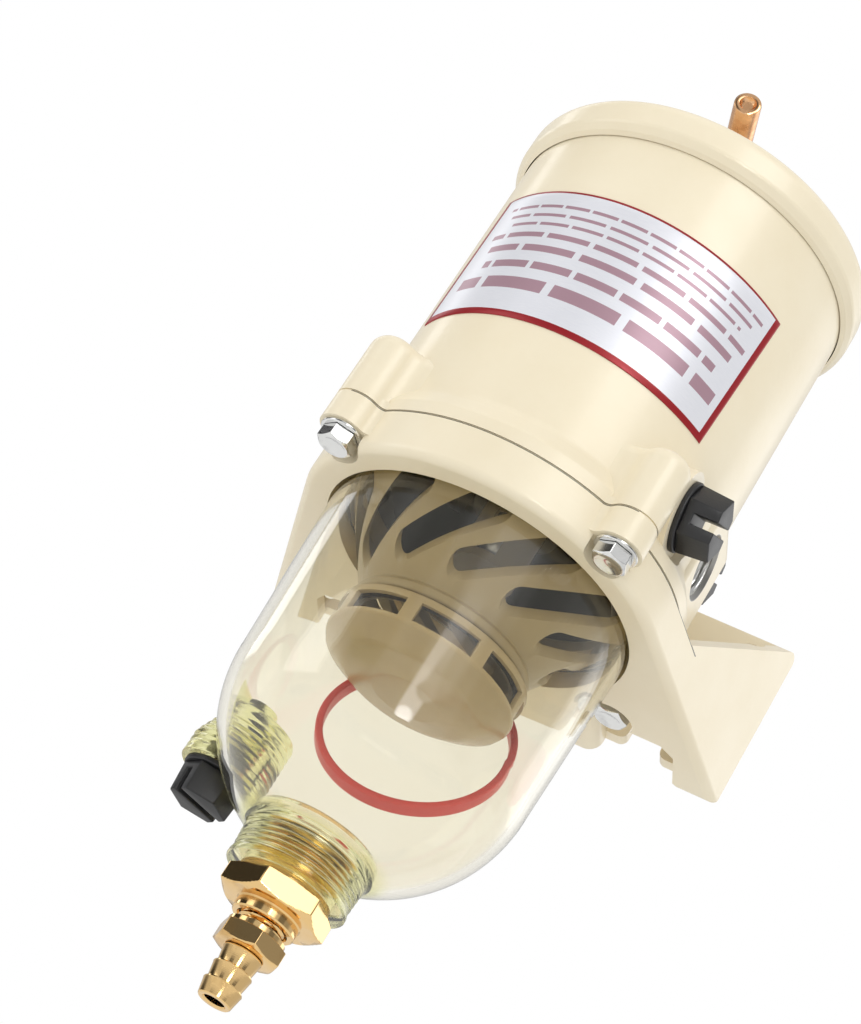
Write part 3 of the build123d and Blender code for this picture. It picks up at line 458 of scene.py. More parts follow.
def makeCapPlastic():
    s = capShade
    mat, tree, shader, look = skinMaterial("capPlastic", (0.50, 0.40, 0.24), (0.36, 0.28, 0.16), 0.22, 0.12,
                                           1000.0, 0.12)
    place = placeAbout(tree)
    z, away = place["Z"], place["Reach"]
    share = calc(tree, "POWER", calc(tree, "DIVIDE", away, s["radius"]), s["bend"])
    dish = calc(tree, "ADD", calc(tree, "MULTIPLY", share, s["rise"]), s["floor"])
    # painted shade: near black inside the cap's hollow, above its dished floor
    paintedShadeInCap = meet(tree, under(tree, away, s["inside"]), calc(tree, "GREATER_THAN", z, dish))
    feed(tree, shader, Base_Color=mixColours(tree, paintedShadeInCap, look["Color"], (0.03, 0.02, 0.01, 1)))
    return mat


capPlastic = makeCapPlastic()
redRubber = skinMaterial("redRubber", (0.74, 0.05, 0.035), (0.62, 0.03, 0.022), 0.36, 0.15, 900.0, 0.25)[0]
paper = skinMaterial("filterPaper", (0.66, 0.55, 0.33), (0.52, 0.41, 0.22), 0.85, 0.05, 2600.0, 0.8)[0]
brass = metalMaterial("brass", (0.88, 0.60, 0.27), (0.52, 0.29, 0.09), 0.1, 0.2)
zinc = metalMaterial("zinc", (0.80, 0.80, 0.79), (0.45, 0.45, 0.45), 0.12, 0.12)
copperZinc = metalMaterial("copperZinc", (0.84, 0.50, 0.27), (0.50, 0.22, 0.09), 0.16, 0.25)
steel = metalMaterial("steel", (0.62, 0.62, 0.60), (0.36, 0.34, 0.31), 0.3, 0.3)

# clear plastic: a light yellow glass, deeper in the two threaded bosses, that lets the light of the
# lamps through to what is inside; lengths in metres
clearSetup = {"bossTop": -0.1165, "bossDeep": -0.1195, "probe": (0.037, 0.0527, 0.0), "probeReach": 0.0142,
              "probeTop": -0.0835, "deepRough": 0.12}


def makeClear():
    s = clearSetup
    mat, tree, shader, look = lookMaterial(
        "clearPlastic", skin, Grain=60.0, Relief=0.02, Gloss=0.015, Spread=0.02,
        Light=(0.955, 0.93, 0.835, 1), Dark=(0.94, 0.905, 0.79, 1))
    place = placeAbout(tree, s["probe"])
    z, away = place["Z"], place["Reach"]
    deep = smooth(tree, z, s["bossTop"], s["bossDeep"])
    near = meet(tree, under(tree, away, s["probeReach"]), under(tree, z, s["probeTop"]))
    thick = calc(tree, "MAXIMUM", deep, near)
    tint = mixColours(tree, thick, look["Color"], (0.80, 0.78, 0.40, 1))
    rough = calc(tree, "ADD", look["Roughness"], calc(tree, "MULTIPLY", thick, s["deepRough"]))
    feed(tree, shader, Base_Color=tint, Roughness=rough, Transmission_Weight=1.0, IOR=1.49)
    path = addNode(tree, "ShaderNodeLightPath").outputs
    through = calc(tree, "MAXIMUM", path["Is Shadow Ray"], path["Is Diffuse Ray"])
    thin = addNode(tree, "ShaderNodeBsdfTransparent", Color=(0.93, 0.90, 0.80, 1))
    mixed = addNode(tree, "ShaderNodeMixShader", i0=through, i1=shader.outputs[0], i2=thin.outputs[0])
    feed(tree, tree.nodes["Material Output"], Surface=mixed.outputs[0])
    return mat


clear = makeClear()

# plate: silver foil with a red border, and plain bars in the place of its print
plateSetup = {
    "radius": 51.5, "thickness": 0.36, "halfAngle": 56.0, "low": -70.7, "high": -23.6, "tilt": 2.0,
    "across": 96, "upward": 24, "edge": 0.15, "rimStep": 0.12, "lift": 0.01,
    "borders": {"left": 2.0, "right": 2.0, "low": 2.0, "high": 0.8},
    "rows": [(17.6, 0.55, 9.0), (14.2, 0.55, 13.0), (10.8, 0.55, 11.0), (6.6, 0.9, 15.0), (1.6, 1.2, 19.0),
             (-4.6, 1.3, 14.0), (-11.6, 2.1, 23.0)],
    "rowsMiddle": 1.5, "rowsMargin": 6, "rowsStagger": 2.5, "barGap": 0.11,
}


def makeFoil():
    s = plateSetup
    mat, tree, shader = newMaterial("plateFoil")
    uv = addNode(tree, "ShaderNodeUVMap", {"uv_map": "plate"})
    u, v = list(addNode(tree, "ShaderNodeSeparateXYZ", Vector=uv.outputs[0]).outputs)[:2]
    halfWidth = s["radius"] * math.radians(s["halfAngle"])
    halfHeight = (s["high"] - s["low"]) / 2
    edges = s["borders"]
    border = calc(tree, "GREATER_THAN", u, halfWidth - edges["right"])
    for operation, along, limit in (("LESS_THAN", u, edges["left"] - halfWidth),
                                    ("GREATER_THAN", v, halfHeight - edges["high"]),
                                    ("LESS_THAN", v, edges["low"] - halfHeight)):
        border = calc(tree, "MAXIMUM", border, calc(tree, operation, along, limit))
    bars = None
    for k, (height, half, pitch) in enumerate(s["rows"]):
        inRow = under(tree, calc(tree, "ABSOLUTE", calc(tree, "SUBTRACT", v, height)), half)
        fromMiddle = calc(tree, "ABSOLUTE", calc(tree, "SUBTRACT", u, s["rowsMiddle"]))
        inside = under(tree, fromMiddle, halfWidth - s["rowsMargin"] - s["rowsStagger"] * (k % 3))
        along = calc(tree, "FRACT", calc(tree, "MULTIPLY_ADD", u, 1 / pitch))
        bar = meet(tree, inRow, inside, calc(tree, "GREATER_THAN", along, s["barGap"]))
        bars = bar if bars is None else calc(tree, "MAXIMUM", bars, bar)
    coords = addNode(tree, "ShaderNodeTexCoord").outputs["Object"]
    brush = addNode(tree, "ShaderNodeMapping", Vector=coords, Scale=(400.0, 400.0, 6000.0))
    grain = addNode(tree, "ShaderNodeTexNoise", Vector=brush.outputs[0], Scale=1.0, Detail=2.0)
    silver = mixColours(tree, grain.outputs[0], (0.74, 0.75, 0.81, 1), (0.84, 0.845, 0.88, 1))
    printed = mixColours(tree, bars, silver, (0.42, 0.26, 0.31, 1))
    rough = addNode(tree, "ShaderNodeMapRange", Value=grain.outputs[0], To_Min=0.26, To_Max=0.4)
    relief = addNode(tree, "ShaderNodeBump", Strength=0.15, Distance=0.00004, Height=grain.outputs[0])
    feed(tree, shader, Base_Color=mixColours(tree, border, printed, (0.33, 0.008, 0.014, 1)),
         Roughness=rough.outputs[0], Normal=relief.outputs[0], Metallic=0.2)
    return mat


foil = makeFoil()
print("materials made:", len(bpy.data.materials))

for nodeName in nodes:
    dress(nodeName, rubber)
for mat, names in ((bodyPaint, ["body_casting"]), (paint, ["bracket", "lid"]), (foil, ["name_plate"]),
                   (zinc, ["ring_washers", "ring_screws"]), (paper, ["element_media"]),
                   (steel, ["element_top_cap", "element_bottom_cap", "element_core", "element_bail",
                            "return_tube", "check_ball", "handle_washer"]),
                   (turbinePlastic, ["ball_cage", "turbine"]), (capPlastic, ["turbine_cap"]),
                   (copperZinc, ["handle_stem", "handle_bar"]), (clear, ["bowl"]),
                   (brass, ["drain_body", "drain_stem", "drain_seal", "drain_stem_seal"]),
                   (redRubber, ["bowl_ring"]), (blackPlastic, ["port_plugs", "probe_plug"])):
    for nodeName in names:
        dress(nodeName, mat)


def addPlate():
    s = plateSetup
    middle = (s["low"] + s["high"]) / 2
    half = (s["high"] - s["low"]) / 2
    r, tilt = s["radius"], math.radians(s["tilt"])
    across, upward = s["across"], s["upward"]
    bm = bmesh.new()
    layer = bm.loops.layers.uv.new("plate")
    marks = {}

    def spot(angle, height, radius):
        flatX = r * math.sin(angle)
        x = flatX * math.cos(tilt) + height * math.sin(tilt)
        z = middle - flatX * math.sin(tilt) + height * math.cos(tilt)
        y = -math.sqrt(radius ** 2 - x ** 2)
        v = bm.verts.new((x, y, z))
        marks[v] = (r * angle, height)
        return v

    def sheet(radius, inset):
        reach = math.radians(s["halfAngle"]) - inset / r
        tall = half - inset
        return [[spot(reach * (2 * i / across - 1), tall * (2 * j / upward - 1), radius)
                 for j in range(upward + 1)] for i in range(across + 1)]

    front = sheet(r + s["thickness"], s["edge"])
    rim = sheet(r + s["thickness"] - s["rimStep"], 0.0)
    back = sheet(r + s["lift"], 0.0)
    for i in range(across):
        for j in range(upward):
            bm.faces.new((front[i][j], front[i + 1][j], front[i + 1][j + 1], front[i][j + 1]))
            bm.faces.new((back[i][j], back[i][j + 1], back[i + 1][j + 1], back[i + 1][j]))

    def edgeLine(sheet):
        line = [sheet[i][0] for i in range(across + 1)]
        line += [sheet[across][j] for j in range(1, upward + 1)]
        line += [sheet[i][upward] for i in range(across - 1, -1, -1)]
        return line + [sheet[0][j] for j in range(upward - 1, 0, -1)]

    lines = [edgeLine(one) for one in (front, rim, back)]
    for one, other in zip(lines, lines[1:]):
        joinRings(bm, one, other)
    spare = [v for v in bm.verts if not v.link_faces]
    for face in bm.faces:
        for loop in face.loops:
            loop[layer].uv = marks[loop.vert]
    bmesh.ops.delete(bm, geom=spare, context="VERTS")
    settle(meshPiece("namePlateFoil", bm), "housing", foil, 40, "name_plate")


addPlate()

# bowl: a shell of revolution with threads in its drain boss, and the boss of the probe port
bowlSetup = {
    "top": -111.1, "flangeR": 51.0, "flangeLow": -116.0, "ringLow": -122.3, "wallR": 45.8, "domeR": 43.8,
    "domeZ": -173.0, "thick": 2.5, "bossR": 17.8, "bossLowR": 17.0, "rim": -224.0, "boreR": 12.6,
    "collar": -207.0, "pitch": 1.6, "inner": 0.55, "outer": 0.4, "corner": 0.5,
    "probeX": -37.0, "probeY": 12.0, "probeR": 11.3, "probeSeat": -199.0, "probeTop": -176.0,
    "probeBore": 6.35, "probeEnd": -230, "probeStraight": 7, "probeDraft": 0.42, "probePitch": 1.9,
    "probeRidge": 0.4, "probeDepth": 12,
    "pocketR": 13.7, "pocketLow": -214.0, "pocketTop": -182.0, "pocketPitch": 2.0, "pocketRidge": 0.6,
}


def ripple(low, high, pitch, depth, radiusAt):
    # a run of rounded ridges from one height to another
    steps = round(abs(high - low) / pitch * 6)
    points = []
    for i in range(steps + 1):
        z = low + (high - low) * i / steps
        fade = min(1.0, 2 * i / steps * 3, 2 * (steps - i) / steps * 3)
        wave = 0.5 - 0.5 * math.cos(2 * math.pi * (z - low) / pitch)
        points.append((radiusAt(z) - depth * fade * wave, z))
    return points


def arcPoints(radius, centreZ, startR, endR, steps):
    # lower quarter of a sphere between two radii
    a0, a1 = math.asin(min(1, startR / radius)), math.asin(min(1, endR / radius))
    angles = [a0 + (a1 - a0) * i / steps for i in range(steps + 1)]
    return [(radius * math.sin(a), centreZ - radius * math.cos(a)) for a in angles]


def addBowl():
    s = bowlSetup
    top, flangeLow, rim, bossR, lowR = s["top"], s["flangeLow"], s["rim"], s["bossR"], s["bossLowR"]
    boreR, collar, flangeR, wallR, corner = s["boreR"], s["collar"], s["flangeR"], s["wallR"], s["corner"]
    inside = s["domeR"] - s["thick"]
    innerR = wallR - s["thick"]
    outline = ripple(rim + 0.8, collar - 0.8, s["pitch"], -s["inner"], lambda z: boreR)
    outline += [(boreR + 0.3, collar), (bossR - corner, collar), (bossR, collar - corner)]
    outline += arcPoints(inside, s["domeZ"], bossR, inside, 26)
    outline += [(innerR, s["ringLow"]), (innerR, top - 0.3), (innerR + 0.3, top), (flangeR - 0.4, top),
                (flangeR, top - 0.4), (flangeR, flangeLow + corner), (flangeR - corner, flangeLow),
                (wallR + 1.2, flangeLow), (wallR + 0.35, flangeLow - 0.35), (wallR, flangeLow - 1.2),
                (wallR, s["ringLow"])]
    outer = arcPoints(s["domeR"], s["domeZ"], bossR + 1.2, s["domeR"], 30)
    outer.reverse()
    outline += outer
    bossTop = outer[-1][1] - 1.1
    slope = (bossR - lowR) / (bossTop - rim)
    outline += [(bossR + 0.4, outer[-1][1] - 0.5)]
    outline += ripple(bossTop, rim + 1.8, s["pitch"], s["outer"], lambda z: lowR + slope * (z - rim))
    outline += [(lowR + 0.5, rim + 1.2), (lowR + 0.5, rim + 0.4), (lowR, rim), (boreR + 0.5, rim),
                (boreR + 0.1, rim + 0.4)]
    bowl = lathePiece("bowlShell", outline)

    place = turnedTo(s["probeX"], s["probeY"], 0)
    probeR, seat, probeTop = s["probeR"], s["probeSeat"], s["probeTop"]
    taper = [(probeR - 0.3, seat), (probeR, seat + 0.3)]
    taper += ripple(seat + 0.8, probeTop - 1, s["probePitch"], s["probeRidge"],
                    lambda z: probeR - max(0, z - seat - s["probeStraight"]) * s["probeDraft"])
    boss = lathePiece("probeBoss", [(0, seat)] + taper + [(0, probeTop - 1)], 72, place)
    room = arcPoints(s["domeR"] - 0.4, s["domeZ"], 0, s["domeR"] - 0.4, 24)
    limit = lathePiece("pocketLimit", room + [(0, s["domeZ"])], 96)
    pocketR, pocketLow, pocketTop = s["pocketR"], s["pocketLow"], s["pocketTop"]
    wall = ripple(pocketLow + 6, pocketTop - 1.5, s["pocketPitch"], s["pocketRidge"], lambda z: pocketR)
    wall += [(pocketR - 0.4, pocketTop - 0.5), (pocketR - 1.5, pocketTop), (0, pocketTop)]
    pocket = lathePiece("probePocket", [(0, pocketLow), (pocketR, pocketLow)] + wall, 72, place)
    carve(pocket, limit, "INTERSECT")
    carve(bowl, pocket, "UNION")
    carve(bowl, boss, "UNION")
    bore = [(0, s["probeEnd"]), (probeR + 0.05, s["probeEnd"]), (probeR + 0.05, seat + 0.02),
            (s["probeBore"], seat + 0.02), (s["probeBore"], seat + s["probeDepth"]),
            (0, seat + s["probeDepth"] + 1)]
    carve(bowl, lathePiece("probeCut", bore, 72, place))
    settle(bowl, "housing", clear, 32, "bowl")


addBowl()

# drain: brass body with a threaded spigot, and the drain screw with its barbed tail
drainSetup = {
    "shoulder": -225.4, "hexHeight": 6.6, "neckHeight": 3.4, "spigot": 15.0, "spigotR": 12.5, "neckR": 9.0,
    "hexFlat": 13.5, "hexTurn": 54.3, "boreR": 6.66, "coreR": 3.0, "pitch": 1.6, "ridge": 0.65,
    "stemR": 6.6, "stemGap": 3.6, "stemDepth": 12.0, "stemFlat": 8.5, "stemHex": 5.4, "stemTurn": 25.0,
    "stemPitch": 1.4, "stemRidge": 0.5, "boreRidge": 0.35, "boreDepth": 13.5,
    "threadTop": 11.8, "grooveLow": 12.0, "grooveTop": 13.2, "undercut": 1.5,
    "barbR": 5.6, "barbNeck": 4.8, "barbPitch": 4.8, "barbs": 3,
}


def addDrain():
    s = drainSetup
    top, spigotR, boreR, coreR, neckR = s["shoulder"], s["spigotR"], s["boreR"], s["coreR"], s["neckR"]
    end = top + s["spigot"]
    hexLow = top - s["hexHeight"]
    low = hexLow - s["neckHeight"]
    levels = hexLevels(s["hexFlat"], 0.35, hexLow, top, 1.5, 0.7)
    levels += [(spigotR - 1.3, top + 0.1), (spigotR - 1.3, top + 1.4)]
    levels += threadLevels(spigotR, s["ridge"], s["pitch"], top + 1.5, top + s["threadTop"])
    groove, boreTop = spigotR - s["undercut"], low + s["boreDepth"]
    levels += [(groove, top + s["grooveLow"]), (groove, top + s["grooveTop"]),
               (spigotR - 0.2, top + s["grooveTop"] + 0.1), (spigotR - 0.2, end - 0.6), (spigotR - 0.8, end),
               (coreR + 0.4, end), (coreR, end - 0.4), (coreR, boreTop + 0.5), (boreR, boreTop)]
    levels += reversed(threadLevels(boreR + 0.4, s["boreRidge"], s["stemPitch"], low + 0.8,
                                    boreTop - 0.5))
    levels += [(boreR + 0.7, low), (neckR - 0.4, low), (neckR, low + 0.4), (neckR, hexLow - 0.5),
               (neckR + 0.35, hexLow - 0.08)]
    body = levelsPiece("drainBody", levels, hexAngles(), turnedTo(0, 0, 0, ("Z", s["hexTurn"])))
    settle(body, "housing", brass, 28, "drain_body")

    stemR, neck, barbR, deep = s["stemR"], s["barbNeck"], s["barbR"], low + s["stemDepth"]
    hexTop = low - s["stemGap"]
    hexLow = hexTop - s["stemHex"]
    levels = hexLevels(s["stemFlat"], 0.3, hexLow, hexTop, 1.0, 0.8)
    levels += [(stemR - 0.5, hexTop + 0.05), (stemR - 0.5, hexTop + 1.2)]
    levels += threadLevels(stemR, s["stemRidge"], s["stemPitch"], hexTop + 1.3, deep - 0.8)
    tail = hexLow - s["barbs"] * s["barbPitch"]
    levels += [(stemR - 1.0, deep), (coreR, deep), (coreR, tail + 0.5), (coreR + 0.35, tail),
               (neck - 0.35, tail), (neck - 0.05, tail + 0.3)]
    for k in range(s["barbs"]):
        crest = tail + k * s["barbPitch"] + s["barbPitch"] - 0.5
        levels += [(barbR - 0.12, crest - 0.3), (barbR, crest), (barbR - 0.12, crest + 0.3),
                   (neck + 0.05, crest + 0.5), (neck, crest + 0.56)]
    levels = levels[:-1] + [(neck + 0.3, hexLow - 0.05)]
    screw = levelsPiece("drainScrew", levels, hexAngles(), turnedTo(0, 0, 0, ("Z", s["stemTurn"])))
    settle(screw, "drain_valve", brass, 28, "drain_stem")


addDrain()
print("drain made")

# clamp screws: chamfered heads with a turned face, on their washers
screwSetup = {
    "circle": 57.2, "seat": -117.5, "washer": 1.2, "washerR": 6.3, "washerBore": 3.3, "flat": 4.75,
    "head": 4.2, "shank": 2.95, "ridge": 0.35, "pitch": 1.0, "end": -97.3, "turn": 30, "nextTurn": 11,
}


def addScrews():
    s = screwSetup
    flat, shank, seat, end = s["flat"], s["shank"], s["seat"], s["end"]
    headTop = seat - s["washer"]
    headLow = headTop - s["head"]
    places = [turnedTo(s["circle"] * math.cos(a), s["circle"] * math.sin(a), 0)
              for a in (math.radians(45 + 90 * k) for k in range(4))]
    bm = bmesh.new()
    for k, place in enumerate(places):
        levels = [(flat - 2.2, headLow + 0.5), (flat - 1.1, headLow + 0.06), (flat - 0.75, headLow)]
        levels += hexLevels(flat, 0.22, headLow, headTop - 0.1, 0.9, 0.12, 0.45)
        levels += [(shank, headTop)]
        levels += threadLevels(shank, s["ridge"], s["pitch"], headTop + 4, end - 0.5, 4)
        levels += [(shank - 0.5, end)]
        turn = Matrix.Rotation(math.radians(s["turn"] + s["nextTurn"] * k), 4, "Z")
        addLevels(bm, levels, hexAngles(), place @ turn, False)
    settle(meshPiece("clampScrews", bm), "housing", zinc, 28, "ring_screws")
    bore, outer = s["washerBore"], s["washerR"]
    bm = bmesh.new()
    for place in places:
        addLathe(bm, rounded([(bore, headTop, 0.15), (outer, headTop, 0.4), (outer, seat, 0.4),
                              (bore, seat, 0.15)], 4), 64, place)
    settle(meshPiece("screwWashers", bm), "housing", zinc, 28, "ring_washers")


addScrews()

# plugs: slotted tapered hexagons in black plastic
plugSetup = {
    "flangeR": 10.0, "flange": 1.6, "headR": 9.7, "head": 9.4, "draft": 4.0, "slot": 2.9, "depth": 6.8,
    "thread": 6.5, "edge": 0.38,
    "front": (47, -25.5, -92), "rearRight": (37.8, 30.1, -73.1), "rearLeft": (-37.8, 30.1, -73.1),
    "portThreadR": 8.66, "probe": (-37, 12, -199), "probeScale": 0.95, "probeThreadR": 6.3,
}


def addPlugHead(bm, scale, place):
    s = plugSetup
    low, top = s["flange"], s["flange"] + s["head"] * scale
    floor = top - s["depth"]
    half = s["slot"] / 2

    def corners(z):
        flat = s["headR"] * scale * math.cos(math.pi / 6) - (z - low) * math.tan(math.radians(s["draft"]))
        tip = flat / math.cos(math.pi / 6)
        side = [(flat, half), (flat, tip / 2), (0, tip), (-flat, tip / 2), (-flat, half)]
        return side + [(-x, -y) for x, y in side]

    foot, deck, crown = [[bm.verts.new(place @ Vector((x, y, z))) for x, y in corners(z)]
                         for z in (low, floor, top)]
    joinRings(bm, foot, deck)
    bm.faces.new(list(reversed(foot)))
    bm.faces.new((deck[0], deck[9], deck[5], deck[4]))
    for start in (0, 5):
        for i in range(start, start + 4):
            bm.faces.new((deck[i], deck[i + 1], crown[i + 1], crown[i]))
        bm.faces.new((deck[start + 4], deck[start], crown[start], crown[start + 4]))
        bm.faces.new([crown[i] for i in range(start, start + 5)])


def addPlugs(name, scale, threadR, places, replaced):
    s = plugSetup
    bm = bmesh.new()
    for place in places:
        addPlugHead(bm, scale, place)
    heads = meshPiece(name, bm)
    softenEdges(heads, s["edge"], 3, 25)
    flangeR, high, end = s["flangeR"] * scale, s["flange"] + 0.02, -s["thread"]
    outline = rounded([(0, high, 0), (flangeR, high, 0.45), (flangeR, 0.02, 0.3), (threadR - 0.65, 0.02, 0),
                       (threadR - 0.65, -1.3, 0), (threadR - 0.1, -1.4, 0), (threadR - 0.1, end, 0.5),
                       (0, end, 0)])
    bm = bmesh.new()
    bm.from_mesh(heads.data)
    for place in places:
        addLathe(bm, outline, 72, place)
    bm.to_mesh(heads.data)
    bm.free()
    settle(heads, "housing", blackPlastic, 32, replaced)


addPlugs("portPlugs", 1.0, plugSetup["portThreadR"],
         [turnedTo(*plugSetup["front"], ("Y", 90), ("Z", 118)),
          turnedTo(*plugSetup["rearRight"], ("Y", 90), ("Z", 118)),
          turnedTo(*plugSetup["rearLeft"], ("Y", -90), ("Z", 62))], "port_plugs")
addPlugs("probePlug", plugSetup["probeScale"], plugSetup["probeThreadR"],
         [turnedTo(*plugSetup["probe"], ("X", 180), ("Z", -45))], "probe_plug")
print("screws and plugs made")

# turbine: funnel with spiral slots that widen outwards
turbineSetup = {
    "topR": 42.2, "rimR": 46.3, "split": -108.8, "seat": -111.1, "collar": -116.5, "neckR": 25.0,
    "neckZ": -142.5, "beadR": 27.0, "bead": 2.8, "tail": -147.5, "wall": 1.8,
    "slots": 11, "firstAngle": -116.5, "startR": 30.2, "endR": 41.2, "sweep": 38.0, "bow": 1.7,
    "narrow": 2.6, "wide": 3.5, "cutLow": -143.5, "cutHigh": -112.5,
}


def slotOutline(s):
    sweep = math.radians(s["sweep"])
    start = Vector((s["startR"], 0))
    end = Vector((s["endR"] * math.cos(sweep), s["endR"] * math.sin(sweep)))
    run = end - start
    side = Vector((run.y, -run.x)).normalized()

    def spine(t):
        return start + run * t + side * s["bow"] * 4 * t * (1 - t)

    steps = 16
    left, right = [], []
    for i in range(steps + 1):
        t = i / steps
        ahead = (spine(min(1, t + 0.01)) - spine(max(0, t - 0.01))).normalized()
        out = Vector((ahead.y, -ahead.x))
        wide = s["narrow"] + (s["wide"] - s["narrow"]) * t
        left.append(spine(t) + out * wide)
        right.append(spine(t) - out * wide)
    back = (spine(0) - spine(0.01)).normalized()
    ahead = (spine(1) - spine(0.99)).normalized()

    def cap(centre, out, way, wide, long):
        return [centre + out * wide * math.cos(math.pi * k / 10) + way * long * math.sin(math.pi * k / 10)
                for k in range(1, 10)]

    outEnd = Vector((ahead.y, -ahead.x))
    outStart = Vector((-back.y, back.x))
    points = left + cap(spine(1), outEnd, ahead, s["wide"], s["wide"] * 0.95)
    return points + right[::-1] + cap(spine(0), -outStart, back, s["narrow"], s["narrow"] * 1.15)


def addTurbine():
    s = turbineSetup
    topR, rimR, beadR, neckR, neckZ = (s[key] for key in ("topR", "rimR", "beadR", "neckR", "neckZ"))
    wall, split, low = s["wall"], s["split"] - 0.1, neckZ - s["bead"]
    outline = rounded([
        (topR - wall, split, 0.3), (rimR, split, 0.3), (rimR, s["seat"], 0.3), (topR, s["seat"], 0.3),
        (topR, s["collar"], 2.2), (neckR + 0.6, neckZ + 0.9, 0.9), (beadR, neckZ - 0.2, 1.0),
        (beadR, low, 1.1), (neckR, low - 0.5, 0.2), (neckR, s["tail"], 0.2), (neckR - wall, s["tail"], 0.2),
        (neckR - wall, neckZ + 0.7, 1.5), (topR - wall, s["collar"] + 0.7, 1.5)], 5)
    funnel = lathePiece("spinVanes", outline, 192)
    points = slotOutline(s)
    bm = bmesh.new()
    for k in range(s["slots"]):
        turn = turnedTo(0, 0, 0, ("Z", s["firstAngle"] + 360 / s["slots"] * k))
        addLoop(bm, [[turn @ Vector((p.x, p.y, z)) for p in points] for z in (s["cutLow"], s["cutHigh"])],
                False)
    carve(funnel, meshPiece("slotCutters", bm))
    softenEdges(funnel, 0.28, 2, 42)
    settle(funnel, "housing", turbinePlastic, 38, "turbine")


addTurbine()

# cap under the turbine: windows in its wall and a shallow domed floor
capSetup = {
    "r": 28.3, "wall": 1.6, "top": -146.3, "rim": 2.2, "window": 5.0, "count": 8, "arc": 36.5,
    "first": 18.0, "lower": 0.8, "bottom": -162.0, "fit": 25.05, "foot": 2.0,
    "flatShare": 0.36, "flatRise": 0.4, "dishShare": 0.72, "dishRise": 2.2, "cutIn": 0.8, "cutOut": 1.5,
}


def addCap():
    s = capSetup
    r, wall, top, fit, bottom = s["r"], s["wall"], s["top"], s["fit"], s["bottom"]
    high = top - s["rim"]
    low = high - s["window"]
    edge = low - s["foot"]
    dishR, raised = r * s["dishShare"], bottom + s["dishRise"]
    dish = [(0, bottom, 0), (r * s["flatShare"], bottom + s["flatRise"], 8), (dishR, raised, 10),
            (r, edge, 1.4), (r, top, 0.45), (fit, top, 0.2), (fit, high, 0.2), (r - wall, high, 0.2),
            (r - wall, edge + 0.8, 1.0), (dishR, raised + wall, 6), (0, bottom + wall, 0)]
    cap = lathePiece("vaneCap", rounded(dish, 6), 192)
    half, steps = math.radians(s["arc"] / 2), 8
    swing = [half * (2 * i / steps - 1) for i in range(steps + 1)]
    bm = bmesh.new()
    for k in range(s["count"]):
        middle = math.radians(-90 + s["first"] + 360 / s["count"] * k)
        ring = [(r - wall - s["cutIn"], middle + a) for a in swing]
        ring += [(r + s["cutOut"], middle - a) for a in swing]
        addLoop(bm, [[Vector((away * math.cos(a), away * math.sin(a), z)) for away, a in ring]
                     for z in (low - s["lower"], high)], False)
    carve(cap, meshPiece("windowCutters", bm))
    softenEdges(cap, 0.22, 2, 50)
    settle(cap, "housing", capPlastic, 35, "turbine_cap")


addCap()

# red ring that leans in the bowl
ringSetup = {"r": 28.2, "band": 2.2, "width": 4.2, "lean": 20.0, "y": 27.4, "z": -158.5}


def addRing():
    s = ringSetup
    half, outer, inner = s["width"] / 2, s["r"], s["r"] - s["band"]
    outline = rounded([(inner, -half, 0.5), (outer, -half, 0.6), (outer, half, 0.6), (inner, half, 0.5)])
    ring = lathePiece("looseRing", outline, 160, turnedTo(0, s["y"], s["z"], ("X", 90 - s["lean"])))
    settle(ring, "housing", redRubber, 35, "bowl_ring")


addRing()

# T-handle: cross bar with dished ends, and its stem with a rounded thread
handleSetup = {
    "barR": 4.0, "half": 39.5, "turn": 7.5, "height": 34.0, "stemR": 7.4, "top": 40.5, "seat": 17.1,
    "crown": 1.6, "threadR": 4.68, "ridge": 0.45, "pitch": 1.5875, "threadTop": -5.0, "end": -25.0,
}


def addHandle():
    s = handleSetup
    barR, stemR, threadR, crown = s["barR"], s["stemR"], s["threadR"], s["crown"]
    bar = []
    for side in (-1, 1):
        end = side * s["half"]
        dish = [(0, end - side * 1.3), (1.6, end - side * 1.25), (2.2, end - side * 0.7),
                (2.5, end - side * 0.1), (2.9, end), (barR - 0.55, end), (barR - 0.12, end - side * 0.28),
                (barR, end - side * 0.9)]
        bar += dish if side < 0 else dish[::-1]
    piece = lathePiece("handleBar", bar, 64, turnedTo(0, 0, s["height"], ("Z", s["turn"]), ("X", 90)))
    settle(piece, "handle", copperZinc, 35, "handle_bar")
    levels = [(threadR - 0.9, s["end"]), (threadR - 0.5, s["end"] + 0.5)]
    levels += threadLevels(threadR, s["ridge"], s["pitch"], s["end"] + 0.6, s["threadTop"])
    levels += [(threadR, s["threadTop"] + 0.4), (threadR, s["seat"] - 0.1), (stemR - 0.4, s["seat"]),
               (stemR, s["seat"] + 0.4), (stemR, s["top"] - crown)]
    levels += [(stemR - crown + crown * math.cos(math.pi / 2 * i / 6),
                s["top"] - crown + crown * math.sin(math.pi / 2 * i / 6)) for i in range(1, 7)]
    stem = levelsPiece("handleStem", levels, 72, None, False)
    settle(stem, "handle", copperZinc, 30, "handle_stem")


addHandle()

# threads in the two open ports
portSetup = {"x": 50.8, "depth": 8.1, "y": 3.0, "z": -87.3, "r": 8.66, "ridge": 0.6, "pitch": 1.5}


def addPortThreads():
    s = portSetup
    r, deep = s["r"], s["depth"] - 0.5
    for side, name in ((1, "outletThread"), (-1, "inletThread")):
        place = turnedTo(side * s["x"], s["y"], s["z"], ("Y", -90 * side))
        levels = [(r, 0.0)] + threadLevels(r, s["ridge"], s["pitch"], 0.1, s["depth"] - 0.6)
        levels += [(r, deep), (r + 0.35, deep), (r + 0.35, 0.0)]
        settle(levelsPiece(name, levels, 96, place), "housing", steel, 40)


addPortThreads()
print("ring, handle and port threads made")

